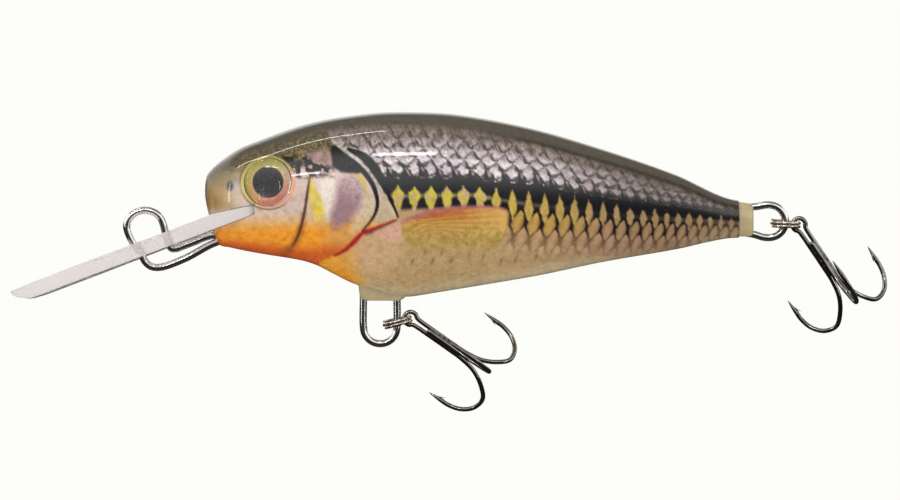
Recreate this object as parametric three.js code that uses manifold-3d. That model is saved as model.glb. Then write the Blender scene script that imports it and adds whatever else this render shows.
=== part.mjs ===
// Crankbait lure: a hard shad-shaped body in two bonded halves around one bent through-wire,
// a clear diving lip let into a slot in the head, two split rings and two treble hooks.
// Millimetres, +Z up, +X towards the tail, origin at the centre of the line-tie loop.
import * as THREE from 'three';
import { mergeVertices } from 'three/addons/utils/BufferGeometryUtils.js';
import Module from 'manifold-3d';

const wasm = await Module();
wasm.setup();

// ---------------------------------------------------------------- driving dimensions
const NOSE_X = 7.8;            // front of the head
const BODY_LENGTH = 70.5;      // nose to the end of the tail block
const BODY_HALF_WIDTH = 6.8;   // widest half breadth, at the gill cover
const FILM = 0.15;             // printed foil skin over the body
const TAIL_BLOCK = 2.1;        // bare end of the body, behind the foil
const FILM_END = BODY_LENGTH - TAIL_BLOCK;
const BOND_GAP = 0.1;          // bond line between touching solids
const SEAM_GAP = 0.1;          // seam between the two halves

const WIRE = 0.96;             // through-wire diameter
const WIRE_CLEAR = 0.15;       // room round the wire in its channel
const STRAND_GAP = 0.1;        // between the wire's two strands, and between wire and lip
const HANGER_FRONT_X = 28.1;   // front leg of the belly hanger
const HANGER_REAR_X = 32.4;    // rear leg of the belly hanger
const HANGER_BOTTOM_Z = -15.1; // lowest centre line of the belly hanger
const TAIL_LOOP_OUT = 3.9;     // how far the tail loop's centre line stands behind the body
const TAIL_LOOP_HALF = 2.1;    // half height of the tail loop
const TAIL_LOOP_Z = 0.6;       // middle of the tail loop

const LIP_SLOPE = 20.9;        // degrees below level, towards the front
const LIP_THICK = 1.85;
const LIP_HALF_WIDTH = 7.4;    // widest half breadth of the blade
const LIP_TONGUE_HALF = 5.3;   // half breadth of the tongue in the head
const LIP_TIP_X = -17.1;
const LIP_INNER_X = 14.3;      // how far the tongue runs into the head

const EYE_R = 3.0;
const EYE_X = 16.1;
const EYE_DROP = 0.4;          // how far its lower edge reaches below the lip's inner end
const EYE_YAW = 10;            // degrees that each eye turns forward
const EYE_SINK = 0.55;         // how deep the iris face lies below the head's side
const EYE_DISC = 0.4;          // thickness of the printed iris disc
const EYE_DOME = 1.0;          // rise of the clear bead

const BALLAST_R = 2.0;
const BALLAST_X = 22.6;
const BALLAST_Z = -1.9;
const BALLAST_WALL = 0.7;      // body left outside each end of the ballast

const RING_R = 1.75;           // centre line of a split ring
const RING_WIRE = 0.4;
const RING_COIL_GAP = 0.05;    // between its two coils
const RING_PLAY = 0.12;        // between the harness wire and the hook's eye
const RING_TURNS = 1.9;
const BELLY_RING_TILT = 14;    // degrees that its rear side stands higher
const TAIL_RING_TILT = -4;
const TAIL_RING_DROP = 0.35;  // how far below the loop's middle the tail ring hangs
const BELLY_RING_Z = -12.3;

const HOOK_WIRE = 0.64;        // treble hook wire
const HOOK_EYE_PLAY = 0.05;    // between the hook's eye and the ring's two coils
const HOOK_LEG_GAP = 0.22;     // between the two legs of the folded shank
const HOOK_THIRD_GAP = 0.18;   // between the single hook's shank and each leg
const HOOK_THIRD_LIFT = 1.5;   // the single hook sits this much higher
const HOOK_REACH = 7.1;        // shank to point, measured outwards
const HOOK_LENGTH = 13.5;      // eye to the bottom of the bend
const HOOK_ROLL = 4;           // degrees that the three bends are turned round the shank
const BRAZE_CLEAR = 0.04;
const BELLY_HOOK_DIP = 35;     // degrees below level that each shank points
const TAIL_HOOK_DIP = 56;

// ---------------------------------------------------------------- materials
const paint = (color, roughness, metalness) =>
  new THREE.MeshStandardMaterial({ color, roughness, metalness });
const foam = paint(0xbeb482, 0.45, 0.0);
const foil = paint(0xb4a89c, 0.18, 0.3);
const clear = paint(0xe1d7d7, 0.08, 0.0);
const steel = paint(0xb8b8b4, 0.2, 1.0);
const nickel = paint(0x968278, 0.25, 1.0);
const blackNickel = paint(0x28231f, 0.25, 1.0);
const solder = paint(0x4a4440, 0.45, 1.0);
const lead = paint(0x70706e, 0.6, 0.8);
const iris = paint(0xd2b460, 0.3, 0.4);

// ---------------------------------------------------------------- solids by joining and cutting
function solidOf(geometry) {
  const g = geometry.clone();
  for (const name of Object.keys(g.attributes)) if (name !== 'position') g.deleteAttribute(name);
  const merged = mergeVertices(g, 1e-4);
  return new wasm.Manifold(new wasm.Mesh({
    numProp: 3,
    vertProperties: new Float32Array(merged.attributes.position.array),
    triVerts: new Uint32Array(merged.index.array),
  }));
}

function geometryOf(solid) {
  const mesh = solid.getMesh();
  const g = new THREE.BufferGeometry();
  g.setAttribute('position', new THREE.BufferAttribute(new Float32Array(mesh.vertProperties), 3));
  g.setIndex(new THREE.BufferAttribute(new Uint32Array(mesh.triVerts), 1));
  g.computeVertexNormals();
  return g;
}

const root = new THREE.Group();
function add(name, geometry, material, parent = root) {
  const mesh = new THREE.Mesh(geometry, material);
  mesh.name = name;
  parent.add(mesh);
  return mesh;
}

// ---------------------------------------------------------------- bent wires
const at = (x, z, y = 0) => new THREE.Vector3(x, y, z);

// A smooth wire whose steps follow its own points, so that straight runs stay light.
class WirePath extends THREE.CatmullRomCurve3 {
  getPointAt(u, target) { return this.getPoint(u, target); }
  getTangentAt(u, target) { return this.getTangent(u, target); }
}

function wireAlong(points, diameter, sides = 8, stepsPerPoint = 2) {
  const path = new WirePath(points, false, 'centripetal');
  const ring = [];
  for (let i = 0; i < sides; i++) {
    const a = (i + 0.5) * 2 * Math.PI / sides;
    ring.push(new THREE.Vector2(Math.cos(a), Math.sin(a)).multiplyScalar(diameter / 2));
  }
  return new THREE.ExtrudeGeometry(new THREE.Shape(ring), {
    steps: (points.length - 1) * stepsPerPoint, extrudePath: path, curveSegments: 1,
  });
}

// ---------------------------------------------------------------- body outline
// Each line is [share of the body's length from the nose, value]; between points it follows a
// smooth curve measured along the square root of the share, which rounds the nose off.
const TOP = [ // height of the back
  [0, 4.6], [0.0036, 6.4], [0.0114, 7.2], [0.0327, 8.5], [0.0653, 10], [0.1023, 11.05], [0.1989, 13.3],
  [0.2983, 14.4], [0.3636, 14.6], [0.4616, 14.25], [0.5937, 12.5], [0.7244, 9.8], [0.8551, 6.6],
  [0.9446, 3.7], [1, 2.95]];
const BOTTOM = [ // height of the throat and belly
  [0, 4.2], [0.0021, 2.9], [0.0085, 1], [0.0156, -0.9], [0.0256, -2.4], [0.0455, -2.8],
  [0.1023, -3.6], [0.1676, -4.35], [0.2003, -5], [0.233, -6.15], [0.2656, -7.3], [0.3054, -8.25],
  [0.3551, -9.1], [0.3977, -8.85], [0.5937, -6.55], [0.7244, -4.65], [0.8551, -3.05], [0.9446, -1.7],
  [1, -1.5]];
const HALF = [ // half breadth, as a share of the widest
  [0, 0.007], [0.0043, 0.25], [0.0114, 0.38], [0.0256, 0.53], [0.0568, 0.72], [0.1023, 0.84],
  [0.1705, 0.94], [0.2699, 1.0], [0.3551, 1.0], [0.4545, 0.94], [0.5966, 0.78], [0.7386, 0.573],
  [0.8523, 0.412], [0.9446, 0.294], [1, 0.25]];

function curveThrough(table) {
  const s = table.map((p) => Math.sqrt(p[0]));
  const v = table.map((p) => p[1]);
  const slope = v.map((_, i) => {
    const a = Math.max(i - 1, 0);
    const b = Math.min(i + 1, v.length - 1);
    return (v[b] - v[a]) / (s[b] - s[a]);
  });
  return (distance) => {
    const q = Math.sqrt(Math.min(Math.max(distance / BODY_LENGTH, 0), 1));
    let i = 0;
    while (i < s.length - 2 && q > s[i + 1]) i++;
    const h = s[i + 1] - s[i];
    const t = (q - s[i]) / h;
    return (2 * t ** 3 - 3 * t ** 2 + 1) * v[i] + (t ** 3 - 2 * t ** 2 + t) * h * slope[i]
      + (3 * t ** 2 - 2 * t ** 3) * v[i + 1] + (t ** 3 - t ** 2) * h * slope[i + 1];
  };
}
const topAt = curveThrough(TOP);
const bottomAt = curveThrough(BOTTOM);
const halfShare = curveThrough(HALF);
const halfAt = (distance) => BODY_HALF_WIDTH * halfShare(distance);

const SECTION_SIDES = 24;
const STATIONS = 26;
const NOSE_CLUSTER = 1.7;      // stations crowd towards the nose
const WIDEST_AT = 0.52;        // height of the widest line, as a share of the section
const SECTION_POWER = 0.9;     // below 1 makes a section fuller than an ellipse

// Distance of the body's side from the middle plane at one place on it.
function sideAt(x, z) {
  const top = topAt(x - NOSE_X);
  const bottom = bottomAt(x - NOSE_X);
  const mid = bottom + WIDEST_AT * (top - bottom);
  const rise = z > mid ? (z - mid) / (top - mid) : (z - mid) / (mid - bottom);
  return halfAt(x - NOSE_X) * Math.max(1 - rise * rise, 0) ** (SECTION_POWER / 2);
}

// A closed lofted body, its skin lying "inset" inside the outline and stopping at "length".
function bodyLoft(inset, length) {
  const g = new THREE.CylinderGeometry(1, 1, 1, SECTION_SIDES, STATIONS);
  const p = g.attributes.position;
  for (let i = 0; i < p.count; i++) {
    const share = (0.5 - p.getY(i)) ** NOSE_CLUSTER;
    const distance = share * length;
    const r = Math.hypot(p.getX(i), p.getZ(i));
    const a = Math.atan2(p.getX(i), p.getZ(i));
    const top = topAt(distance);
    const bottom = bottomAt(distance);
    const mid = bottom + WIDEST_AT * (top - bottom);
    const half = Math.max(halfAt(distance) - inset, 0.03);
    const rise = Math.cos(a) > 0 ? Math.max(top - mid - inset, 0.05) : Math.max(mid - bottom - inset, 0.05);
    const side = Math.sign(Math.sin(a)) * Math.abs(Math.sin(a)) ** SECTION_POWER;
    const x = NOSE_X + inset + distance * (1 - inset / length);
    p.setXYZ(i, x, r * half * side, mid + r * rise * Math.cos(a));
  }
  return solidOf(g);
}

// ---------------------------------------------------------------- diving lip
const lipTan = Math.tan(LIP_SLOPE * Math.PI / 180);
const lipTop = (x) => (x < 9 ? 1.5 + (x - 9) * lipTan : 1.5 + (x - 9) * lipTan * 0.7);
const lipDrop = LIP_THICK / Math.cos(LIP_SLOPE * Math.PI / 180);

function lipSide(grow) {
  const tip = LIP_TIP_X - grow;
  const inner = LIP_INNER_X + grow;
  return new THREE.Shape([
    [tip, lipTop(tip) + 0.1], [9, lipTop(9) + grow], [inner, lipTop(inner) - 0.25 + grow],
    [inner, lipTop(inner) - 1.45 - grow], [9, lipTop(9) - lipDrop - grow],
    [tip + 4.2, lipTop(tip + 4.2) - lipDrop - grow], [tip + 2.6, lipTop(tip + 2.6) - lipDrop + 0.1 - grow],
    [tip + 1.1, lipTop(tip + 1.1) - 1.1 - grow],
  ].map(([x, z]) => new THREE.Vector2(x, z)));
}

function acrossY(shape, halfWidth) {
  const g = new THREE.ExtrudeGeometry(shape, { depth: 2 * halfWidth, bevelEnabled: false });
  g.rotateX(Math.PI / 2);
  g.translate(0, halfWidth, 0);
  return solidOf(g);
}

function lipPlan() {
  const s = new THREE.Shape();
  const cornerX = LIP_TIP_X + 5.5;
  s.moveTo(LIP_INNER_X, -LIP_TONGUE_HALF + 1.2);
  s.lineTo(LIP_INNER_X, LIP_TONGUE_HALF - 1.2);
  s.quadraticCurveTo(LIP_INNER_X, LIP_TONGUE_HALF, LIP_INNER_X - 1.4, LIP_TONGUE_HALF);
  s.lineTo(6, LIP_TONGUE_HALF - 0.5);
  s.bezierCurveTo(2, LIP_TONGUE_HALF - 0.5, -2, LIP_HALF_WIDTH, -7, LIP_HALF_WIDTH);
  s.bezierCurveTo(cornerX - 1, LIP_HALF_WIDTH, LIP_TIP_X, 5.2, LIP_TIP_X, 0);
  s.bezierCurveTo(LIP_TIP_X, -5.2, cornerX - 1, -LIP_HALF_WIDTH, -7, -LIP_HALF_WIDTH);
  s.bezierCurveTo(-2, -LIP_HALF_WIDTH, 2, -LIP_TONGUE_HALF + 0.5, 6, -LIP_TONGUE_HALF + 0.5);
  s.lineTo(LIP_INNER_X - 1.4, -LIP_TONGUE_HALF);
  s.quadraticCurveTo(LIP_INNER_X, -LIP_TONGUE_HALF, LIP_INNER_X, -LIP_TONGUE_HALF + 1.2);
  const g = new THREE.ExtrudeGeometry(s, { depth: 30, bevelEnabled: false, curveSegments: 7 });
  g.translate(0, 0, -15);
  return solidOf(g);
}

// ---------------------------------------------------------------- through-wire
const tailX = NOSE_X + BODY_LENGTH;
const tailLoopX = tailX + TAIL_LOOP_OUT;
const hangerMid = (HANGER_FRONT_X + HANGER_REAR_X) / 2;
const hangerR = (HANGER_REAR_X - HANGER_FRONT_X) / 2;
const tailTopZ = TAIL_LOOP_Z + TAIL_LOOP_HALF;
const tailLowZ = TAIL_LOOP_Z - TAIL_LOOP_HALF;
const upperRun = (x) => lipTop(x) - lipDrop - STRAND_GAP - WIRE / 2;        // under the lip
const lowerRun = (x) => upperRun(x) - STRAND_GAP - WIRE;                    // beside that strand
const arc = (cx, cz, rx, rz, from, to, n) => Array.from({ length: n + 1 }, (_, i) => {
  const a = (from + (to - from) * i / n) * Math.PI / 180;
  return at(cx + rx * Math.cos(a), cz + rz * Math.sin(a));
});
// From its hidden front end: back along the lip, up to the line tie, down in front, into the
// throat, down round the belly hanger, along the body, round the tail loop and back in.
const wirePoints = [
  at(12.6, -0.75), at(10.4, -1.1), at(8.4, upperRun(8.4)), at(6.4, upperRun(6.4)),
  at(4.9, upperRun(4.9)), at(4.0, upperRun(4.0) + 0.05), at(3.45, upperRun(3.45) + 0.35),
  at(2.7, -0.75), ...arc(0.1, -0.05, 2.35, 2.05, 12, 200, 9), at(-1.5, -2.05), at(-0.45, -3.5),
  at(0.15, -4.6), at(0.9, -5.2), at(2.1, -5.3), at(5.3, -4.15), at(8.6, lowerRun(8.6) - 0.1),
  at(10.6, lowerRun(10.6)), at(13.2, -0.3 - WIRE), at(17, 1.2), at(22, 1.5), at(26.2, 0.2),
  at(HANGER_FRONT_X - 0.3, -2.4), at(HANGER_FRONT_X, -5.5), at(HANGER_FRONT_X, -9),
  ...arc(hangerMid, HANGER_BOTTOM_Z + hangerR, hangerR, hangerR, 180, 360, 8),
  at(HANGER_REAR_X, -9), at(HANGER_REAR_X, -5.5), at(HANGER_REAR_X + 0.4, -2.4),
  at(HANGER_REAR_X + 2.6, 0.2), at(HANGER_REAR_X + 7.6, 2.2), at((HANGER_REAR_X + tailX) / 2, 2.9),
  at(tailX - 8.3, 2.75), at(tailX - 2.3, 2.35), at(tailX + 0.3, 2.5), at(tailX + 1.3, tailTopZ - 0.02),
  ...arc(tailLoopX - 2.1, TAIL_LOOP_Z, 2.1, TAIL_LOOP_HALF, 85, -85, 8),
  at(tailX + 1.1, tailLowZ + 0.05), at(tailX - 0.1, -1.1), at(tailX - 2.3, -0.75), at(tailX - 6.8, -0.4),
];

const harness = wireAlong(wirePoints, WIRE);
const pastEnd = (end, before) => end.clone().add(end.clone().sub(before).setLength(WIRE_CLEAR));
const channel = solidOf(wireAlong([pastEnd(wirePoints[0], wirePoints[1]), ...wirePoints,
  pastEnd(wirePoints[wirePoints.length - 1], wirePoints[wirePoints.length - 2])], WIRE + 2 * WIRE_CLEAR));

// ---------------------------------------------------------------- body halves and foil skins
const lipCut = acrossY(lipSide(BOND_GAP), 9);

const eyeZ = lipTop(LIP_INNER_X) + EYE_R - EYE_DROP;
const eyeDepth = sideAt(EYE_X, eyeZ) - EYE_SINK;
function tilted(geometry, side) {
  if (side < 0) geometry.rotateX(Math.PI);
  geometry.rotateZ(side * EYE_YAW * Math.PI / 180);
  geometry.translate(EYE_X, side * eyeDepth, eyeZ);
  return geometry;
}
const EYE_SIDES = 24;
const socketOf = (side) => {
  const depth = 4;
  const g = new THREE.CylinderGeometry(EYE_R + BOND_GAP, EYE_R + BOND_GAP, depth, EYE_SIDES);
  g.translate(0, depth / 2 - EYE_DISC - BOND_GAP, 0);
  return solidOf(tilted(g, side));
};

const ballastHalf = Math.min(sideAt(BALLAST_X - BALLAST_R, BALLAST_Z - BALLAST_R),
  sideAt(BALLAST_X + BALLAST_R, BALLAST_Z - BALLAST_R)) - BALLAST_WALL;
function slug(grow) {
  const g = new THREE.CylinderGeometry(BALLAST_R + grow, BALLAST_R + grow, 2 * (ballastHalf + grow), 16);
  g.translate(BALLAST_X, 0, BALLAST_Z);
  return g;
}
const pocket = solidOf(slug(BOND_GAP));

// The moulded base and two short posts where the belly hanger leaves the body.
const HANGER_BASE_Z = -9.6;
const HANGER_BASE_HALF = 1.3;
const HANGER_BASE_TALL = 3.6;
const POST_R = 1.05;
const POST_FOOT_R = 0.85;
function hangerBase(grow) {
  const front = HANGER_FRONT_X - 0.5 - grow;
  const back = HANGER_REAR_X + 0.9 + grow;
  const foot = HANGER_BASE_Z - grow;
  const roof = HANGER_BASE_Z + HANGER_BASE_TALL + grow;
  const block = acrossY(new THREE.Shape([[front - 0.4, roof], [front, foot + 0.7], [front + 0.8, foot],
    [back - 0.9, foot], [back, foot + 0.4], [back + 1.1, roof]]
    .map(([x, z]) => new THREE.Vector2(x, z))), HANGER_BASE_HALF + grow);
  const posts = [[HANGER_FRONT_X + 0.1, -10.9], [HANGER_REAR_X, -10.5]].map(([x, low]) => {
    const top = roof - 1;
    const g = new THREE.CylinderGeometry(POST_R + grow, POST_FOOT_R + grow, top - low, 12);
    g.rotateX(Math.PI / 2);
    g.translate(x, 0, (top + low) / 2);
    return solidOf(g);
  });
  return block.add(posts[0]).add(posts[1]);
}

const core = bodyLoft(FILM + BOND_GAP, BODY_LENGTH).add(hangerBase(0));
const skin = bodyLoft(0, FILM_END).subtract(bodyLoft(FILM, BODY_LENGTH)).subtract(hangerBase(BOND_GAP));

function halfOf(solid, side) {
  const box = new THREE.BoxGeometry(120, 20, 60);
  box.translate(40, side * (10 + SEAM_GAP / 2), 0);
  return solid.intersect(solidOf(box));
}

for (const [side, label] of [[-1, 'left'], [1, 'right']]) {
  const socket = socketOf(side);
  const body = halfOf(core, side).subtract(channel).subtract(lipCut).subtract(pocket).subtract(socket);
  add(`${label}_body_half`, geometryOf(body), foam);
  const film = halfOf(skin, side).subtract(channel).subtract(lipCut).subtract(socket);
  add(`${label}_print_film`, geometryOf(film), foil);
}

// ---------------------------------------------------------------- lip, wire, ballast, eyes
add('diving_lip', geometryOf(acrossY(lipSide(0), 9).intersect(lipPlan()).subtract(channel)), clear);
add('wire_harness', harness, steel);
add('ballast_weight', slug(0), lead);

for (const [side, label] of [[-1, 'left'], [1, 'right']]) {
  const disc = new THREE.CylinderGeometry(EYE_R, EYE_R, EYE_DISC - 0.05, EYE_SIDES);
  disc.translate(0, -EYE_DISC / 2 - 0.025, 0);
  add(`${label}_eye_disc`, tilted(disc, side), iris);
  const rimUp = 0.3;
  const dome = new THREE.LatheGeometry([[0, 0.05], [EYE_R, 0.05], [EYE_R, rimUp], [EYE_R * 0.9, rimUp + 0.3],
    [EYE_R * 0.6, EYE_DOME - 0.12], [EYE_R * 0.25, EYE_DOME], [0, EYE_DOME]]
    .map(([r, y]) => new THREE.Vector2(r, y)), EYE_SIDES);
  add(`${label}_eye_dome`, tilted(dome, side), clear);
}

// ---------------------------------------------------------------- split rings
// It is a coil of almost two turns, so one gap lies between its coils all the way round.
const ringRise = RING_TURNS * (RING_WIRE + RING_COIL_GAP);
function splitRing(name, x, z, tilt) {
  const n = 26;
  const start = 200;
  const turns = Array.from({ length: n + 1 }, (_, i) => {
    const a = (start + 360 * RING_TURNS * i / n) * Math.PI / 180;
    return new THREE.Vector3(RING_R * Math.cos(a), RING_R * Math.sin(a), (i / n - 0.5) * ringRise);
  });
  const ring = add(name, wireAlong(turns, RING_WIRE, 6, 1), nickel);
  ring.position.set(x, 0, z);
  ring.rotation.y = -tilt * Math.PI / 180;
  return ring;
}
const coilsHalf = RING_WIRE + RING_COIL_GAP / 2;   // half height of two coils, one on the other
const hookEyeR = Math.hypot(coilsHalf, RING_WIRE / 2) + HOOK_WIRE / 2 + HOOK_EYE_PLAY;
const eyeOut = WIRE / 2 + RING_PLAY + hookEyeR + HOOK_WIRE / 2;
const rear = (tilt) => RING_R * Math.cos(tilt * Math.PI / 180);
const lift = (tilt) => RING_R * Math.sin(tilt * Math.PI / 180);
const tailRingZ = TAIL_LOOP_Z - TAIL_RING_DROP;
splitRing('belly_split_ring', HANGER_REAR_X + eyeOut - rear(BELLY_RING_TILT), BELLY_RING_Z, BELLY_RING_TILT);
splitRing('tail_split_ring', tailLoopX + eyeOut - rear(TAIL_RING_TILT), tailRingZ, TAIL_RING_TILT);

// ---------------------------------------------------------------- treble hooks
// One hook in its own plane: [outwards, down the shank]; its point turns back up.
const HOOK_LINE = [[0, -10.5], [0, -7.5], [0.01, -5.1], [0.07, -3.1], [0.23, -1.3], [0.46, 0],
  [0.73, -0.3], [0.92, -1.6], [0.995, -3.2], [1, -4.2]]
  .map(([share, rise]) => [share * HOOK_REACH, HOOK_LENGTH + rise]);

const hookLeg = (HOOK_WIRE + HOOK_LEG_GAP) / 2;
const hookThirdY = Math.sqrt((HOOK_WIRE + HOOK_THIRD_GAP) ** 2 - hookLeg ** 2);

function hookPoints(azimuth, legX, legY, lift) {
  const a = azimuth * Math.PI / 180;
  return HOOK_LINE.map(([out, down]) => new THREE.Vector3(
    legX + (out * HOOK_REACH - Math.abs(legX) * out) / HOOK_REACH * Math.cos(a),
    legY + out * Math.sin(a), -(down - lift)));
}

// The ground point and its barb, which carry on from the end of the bend.
function pointOf(line, azimuth) {
  const end = line[line.length - 1];
  const before = line[line.length - 2];
  const run = end.clone().sub(before).normalize();
  const turn = new THREE.Quaternion().setFromUnitVectors(new THREE.Vector3(0, 1, 0), run);
  const spear = new THREE.ConeGeometry(HOOK_WIRE / 2, 2.0, 8);
  spear.translate(0, 0.95, 0);
  const barb = new THREE.ConeGeometry(0.2, 0.95, 5);
  barb.rotateZ(Math.PI);
  barb.translate(0, 0.1, 0);
  const a = azimuth * Math.PI / 180;
  const inward = new THREE.Vector3(-Math.cos(a), -Math.sin(a), 0);
  const lean = new THREE.Quaternion().setFromAxisAngle(
    new THREE.Vector3(-Math.sin(a), Math.cos(a), 0), -0.42);
  spear.applyQuaternion(turn);
  barb.applyQuaternion(turn);
  barb.applyQuaternion(lean);
  spear.translate(end.x, end.y, end.z);
  barb.translate(end.x + inward.x * 0.28, end.y + inward.y * 0.28, end.z + 0.35);
  return solidOf(spear).add(solidOf(barb));
}

function trebleParts(prefix, x, z, dip) {
  const group = new THREE.Group();
  group.position.set(x, 0, z);
  group.rotation.y = -(90 - dip) * Math.PI / 180;
  root.add(group);

  const first = hookPoints(30 + HOOK_ROLL, hookLeg, 0, 0);
  const second = hookPoints(150 + HOOK_ROLL, -hookLeg, 0, 0);
  const eye = Array.from({ length: 9 }, (_, i) => {
    const a = (-52 + 284 * i / 8) * Math.PI / 180;
    return new THREE.Vector3(hookEyeR * Math.cos(a), 0, hookEyeR * Math.sin(a));
  });
  const neck = [new THREE.Vector3(hookLeg, 0, -1.6), new THREE.Vector3(-hookLeg, 0, -1.6)];
  const folded = [...first.slice().reverse(), neck[0], ...eye, neck[1], ...second];
  const double = solidOf(wireAlong(folded, HOOK_WIRE, 6)).add(pointOf(first, 30 + HOOK_ROLL)).add(pointOf(second, 150 + HOOK_ROLL));
  add(`${prefix}_double_hook`, geometryOf(double), blackNickel, group);

  const third = hookPoints(270 + HOOK_ROLL, 0, -hookThirdY, HOOK_THIRD_LIFT);
  const lone = [new THREE.Vector3(0, -hookThirdY, -2.6), ...third.slice(1)];
  const single = solidOf(wireAlong(lone, HOOK_WIRE, 6)).add(pointOf(third, 270 + HOOK_ROLL));
  add(`${prefix}_single_hook`, geometryOf(single), blackNickel, group);

  const lump = new THREE.CylinderGeometry(0.62, 0.62, 4.6, 12);
  lump.rotateX(Math.PI / 2);
  lump.translate(0, -hookThirdY * 0.42, -5.6);
  const wider = HOOK_WIRE + 2 * BRAZE_CLEAR;
  const braze = solidOf(lump).subtract(solidOf(wireAlong(folded, wider, 6)))
    .subtract(solidOf(wireAlong(lone, wider, 6)));
  add(`${prefix}_braze`, geometryOf(braze), solder, group);
}
trebleParts('belly', HANGER_REAR_X + eyeOut, BELLY_RING_Z + lift(BELLY_RING_TILT), BELLY_HOOK_DIP);
trebleParts('tail', tailLoopX + eyeOut, tailRingZ + lift(TAIL_RING_TILT), TAIL_HOOK_DIP);

export default root;
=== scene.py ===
# Looks of the crankbait lure: smooth printed body, clear lip, bright wire, split rings and trebles.
import bpy
import numpy as np
from mathutils import Matrix


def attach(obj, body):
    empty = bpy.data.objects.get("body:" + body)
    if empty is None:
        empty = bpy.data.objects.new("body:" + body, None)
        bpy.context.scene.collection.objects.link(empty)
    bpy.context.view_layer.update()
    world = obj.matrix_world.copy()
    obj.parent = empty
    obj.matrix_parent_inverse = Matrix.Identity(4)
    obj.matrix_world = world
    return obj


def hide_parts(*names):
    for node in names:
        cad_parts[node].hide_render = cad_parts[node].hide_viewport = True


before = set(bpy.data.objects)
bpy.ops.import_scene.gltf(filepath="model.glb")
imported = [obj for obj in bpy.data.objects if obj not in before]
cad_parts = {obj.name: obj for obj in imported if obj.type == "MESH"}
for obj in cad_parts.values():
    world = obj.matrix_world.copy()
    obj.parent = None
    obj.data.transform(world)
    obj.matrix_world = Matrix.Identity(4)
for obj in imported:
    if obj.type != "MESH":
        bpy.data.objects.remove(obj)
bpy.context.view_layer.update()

MM = 0.001
tau = 2 * np.pi

# ------------------------------------------------------------ sizes, in millimetres
NOSE_X = 7.8
WIDEST_AT = 0.52        # share of the height, from the belly up, where a section is widest
SECTION_POWER = 0.9     # power of the sine in a section: below 1 is fuller than an ellipse
BODY_LENGTH = 70.5
HALF_WIDTH = 6.8
FILM = 0.15
FILM_SINK = 0.025       # the skin is this much lower at the back and higher at the belly
BOND_LINE = 0.02        # gap between the film and the moulding under it
SEAM = 0.1
TAIL_BLOCK = 2.1
FILM_END = BODY_LENGTH - TAIL_BLOCK
WIRE = 0.96
WIRE_GAP = 0.16         # clearance round the wire in its channel through the lip
TAIL_X = NOSE_X + BODY_LENGTH
HANGER_FRONT_X = 28.1
HANGER_REAR_X = 32.4
HANGER_LOW = -15.1
HANGER_BASE_TOP = -5.6
HANGER_BASE_FOOT = -9.6
HANGER_BASE_HALF = 1.3
TAIL_LOOP_Z = 0.6
TAIL_LOOP_HALF = 2.1
TAIL_LOOP_X = TAIL_X + 3.9
LIP_SLOPE = np.tan(np.radians(20.9))
LIP_THICK = 1.85
LIP_DROP = LIP_THICK / np.cos(np.radians(20.9))
LIP_HALF = 7.4
TONGUE_HALF = 5.3
LIP_TIP = -17.1
LIP_INNER = 14.3
EYE_R = 3.0
EYE_HOLE_R = EYE_R + 0.1
EYE_X = 16.1
EYE_YAW = np.radians(10)
RING_R = 1.75
RING_WIRE = 0.4
COIL_GAP = 0.05
RING_TURNS = 1.9
BELLY_TILT = np.radians(14)
TAIL_TILT = np.radians(-4)
BELLY_RING_Z = -12.3
TAIL_RING_Z = 0.25
HOOK_WIRE = 0.64
HOOK_SLIM = 0.04        # how much thinner the round wire is than its faceted solid
HOOK_REACH = 7.1
HOOK_LENGTH = 13.5
HOOK_ROLL = 4
BELLY_DIP = 35
TAIL_DIP = 56

# Outline of the body: [share of its length from the nose, value].
TOP = [[0, 4.6], [0.0036, 6.4], [0.0114, 7.2], [0.0327, 8.5], [0.0653, 10], [0.1023, 11.05],
       [0.1989, 13.3], [0.2983, 14.4], [0.3636, 14.6], [0.4616, 14.25], [0.5937, 12.5],
       [0.7244, 9.8], [0.8551, 6.6], [0.9446, 3.7], [1, 2.95]]
BOTTOM = [[0, 4.2], [0.0021, 2.9], [0.0085, 1], [0.0156, -0.9], [0.0256, -2.4], [0.0455, -2.8],
          [0.1023, -3.6], [0.1676, -4.35], [0.2003, -5], [0.233, -6.15], [0.2656, -7.3],
          [0.3054, -8.25], [0.3551, -9.1], [0.3977, -8.85], [0.5937, -6.55], [0.7244, -4.65],
          [0.8551, -3.05], [0.9446, -1.7], [1, -1.5]]
HALF = [[0, 0.007], [0.0043, 0.25], [0.0114, 0.38], [0.0256, 0.53], [0.0568, 0.72], [0.1023, 0.84],
        [0.1705, 0.94], [0.2699, 1], [0.3551, 1], [0.4545, 0.94], [0.5966, 0.78], [0.7386, 0.573],
        [0.8523, 0.412], [0.9446, 0.294], [1, 0.25]]


# ------------------------------------------------------------ the body's outline as functions
def smooth_line(table):
    """A cubic through the table's points, worked along the square root of the share; at each point
    its slope is the rise between the two neighbours over their distance."""
    s = np.sqrt([p[0] for p in table])
    v = np.array([p[1] for p in table], float)
    before = np.maximum(np.arange(len(s)) - 1, 0)
    after = np.minimum(np.arange(len(s)) + 1, len(s) - 1)
    slope = (v[after] - v[before]) / (s[after] - s[before])

    def at(distance):
        q = np.sqrt(np.clip(np.asarray(distance, float) / BODY_LENGTH, 0, 1))
        i = np.clip(np.searchsorted(s, q) - 1, 0, len(s) - 2)
        h = s[i + 1] - s[i]
        t = (q - s[i]) / h
        return ((2 * t**3 - 3 * t**2 + 1) * v[i] + (t**3 - 2 * t**2 + t) * h * slope[i]
                + (3 * t**2 - 2 * t**3) * v[i + 1] + (t**3 - t**2) * h * slope[i + 1])
    return at


top_at = smooth_line(TOP)
bottom_at = smooth_line(BOTTOM)
half_share = smooth_line(HALF)


def middle_at(d):
    """Height of the widest line, just above halfway from the belly to the back."""
    return bottom_at(d) + WIDEST_AT * (top_at(d) - bottom_at(d))


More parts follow.
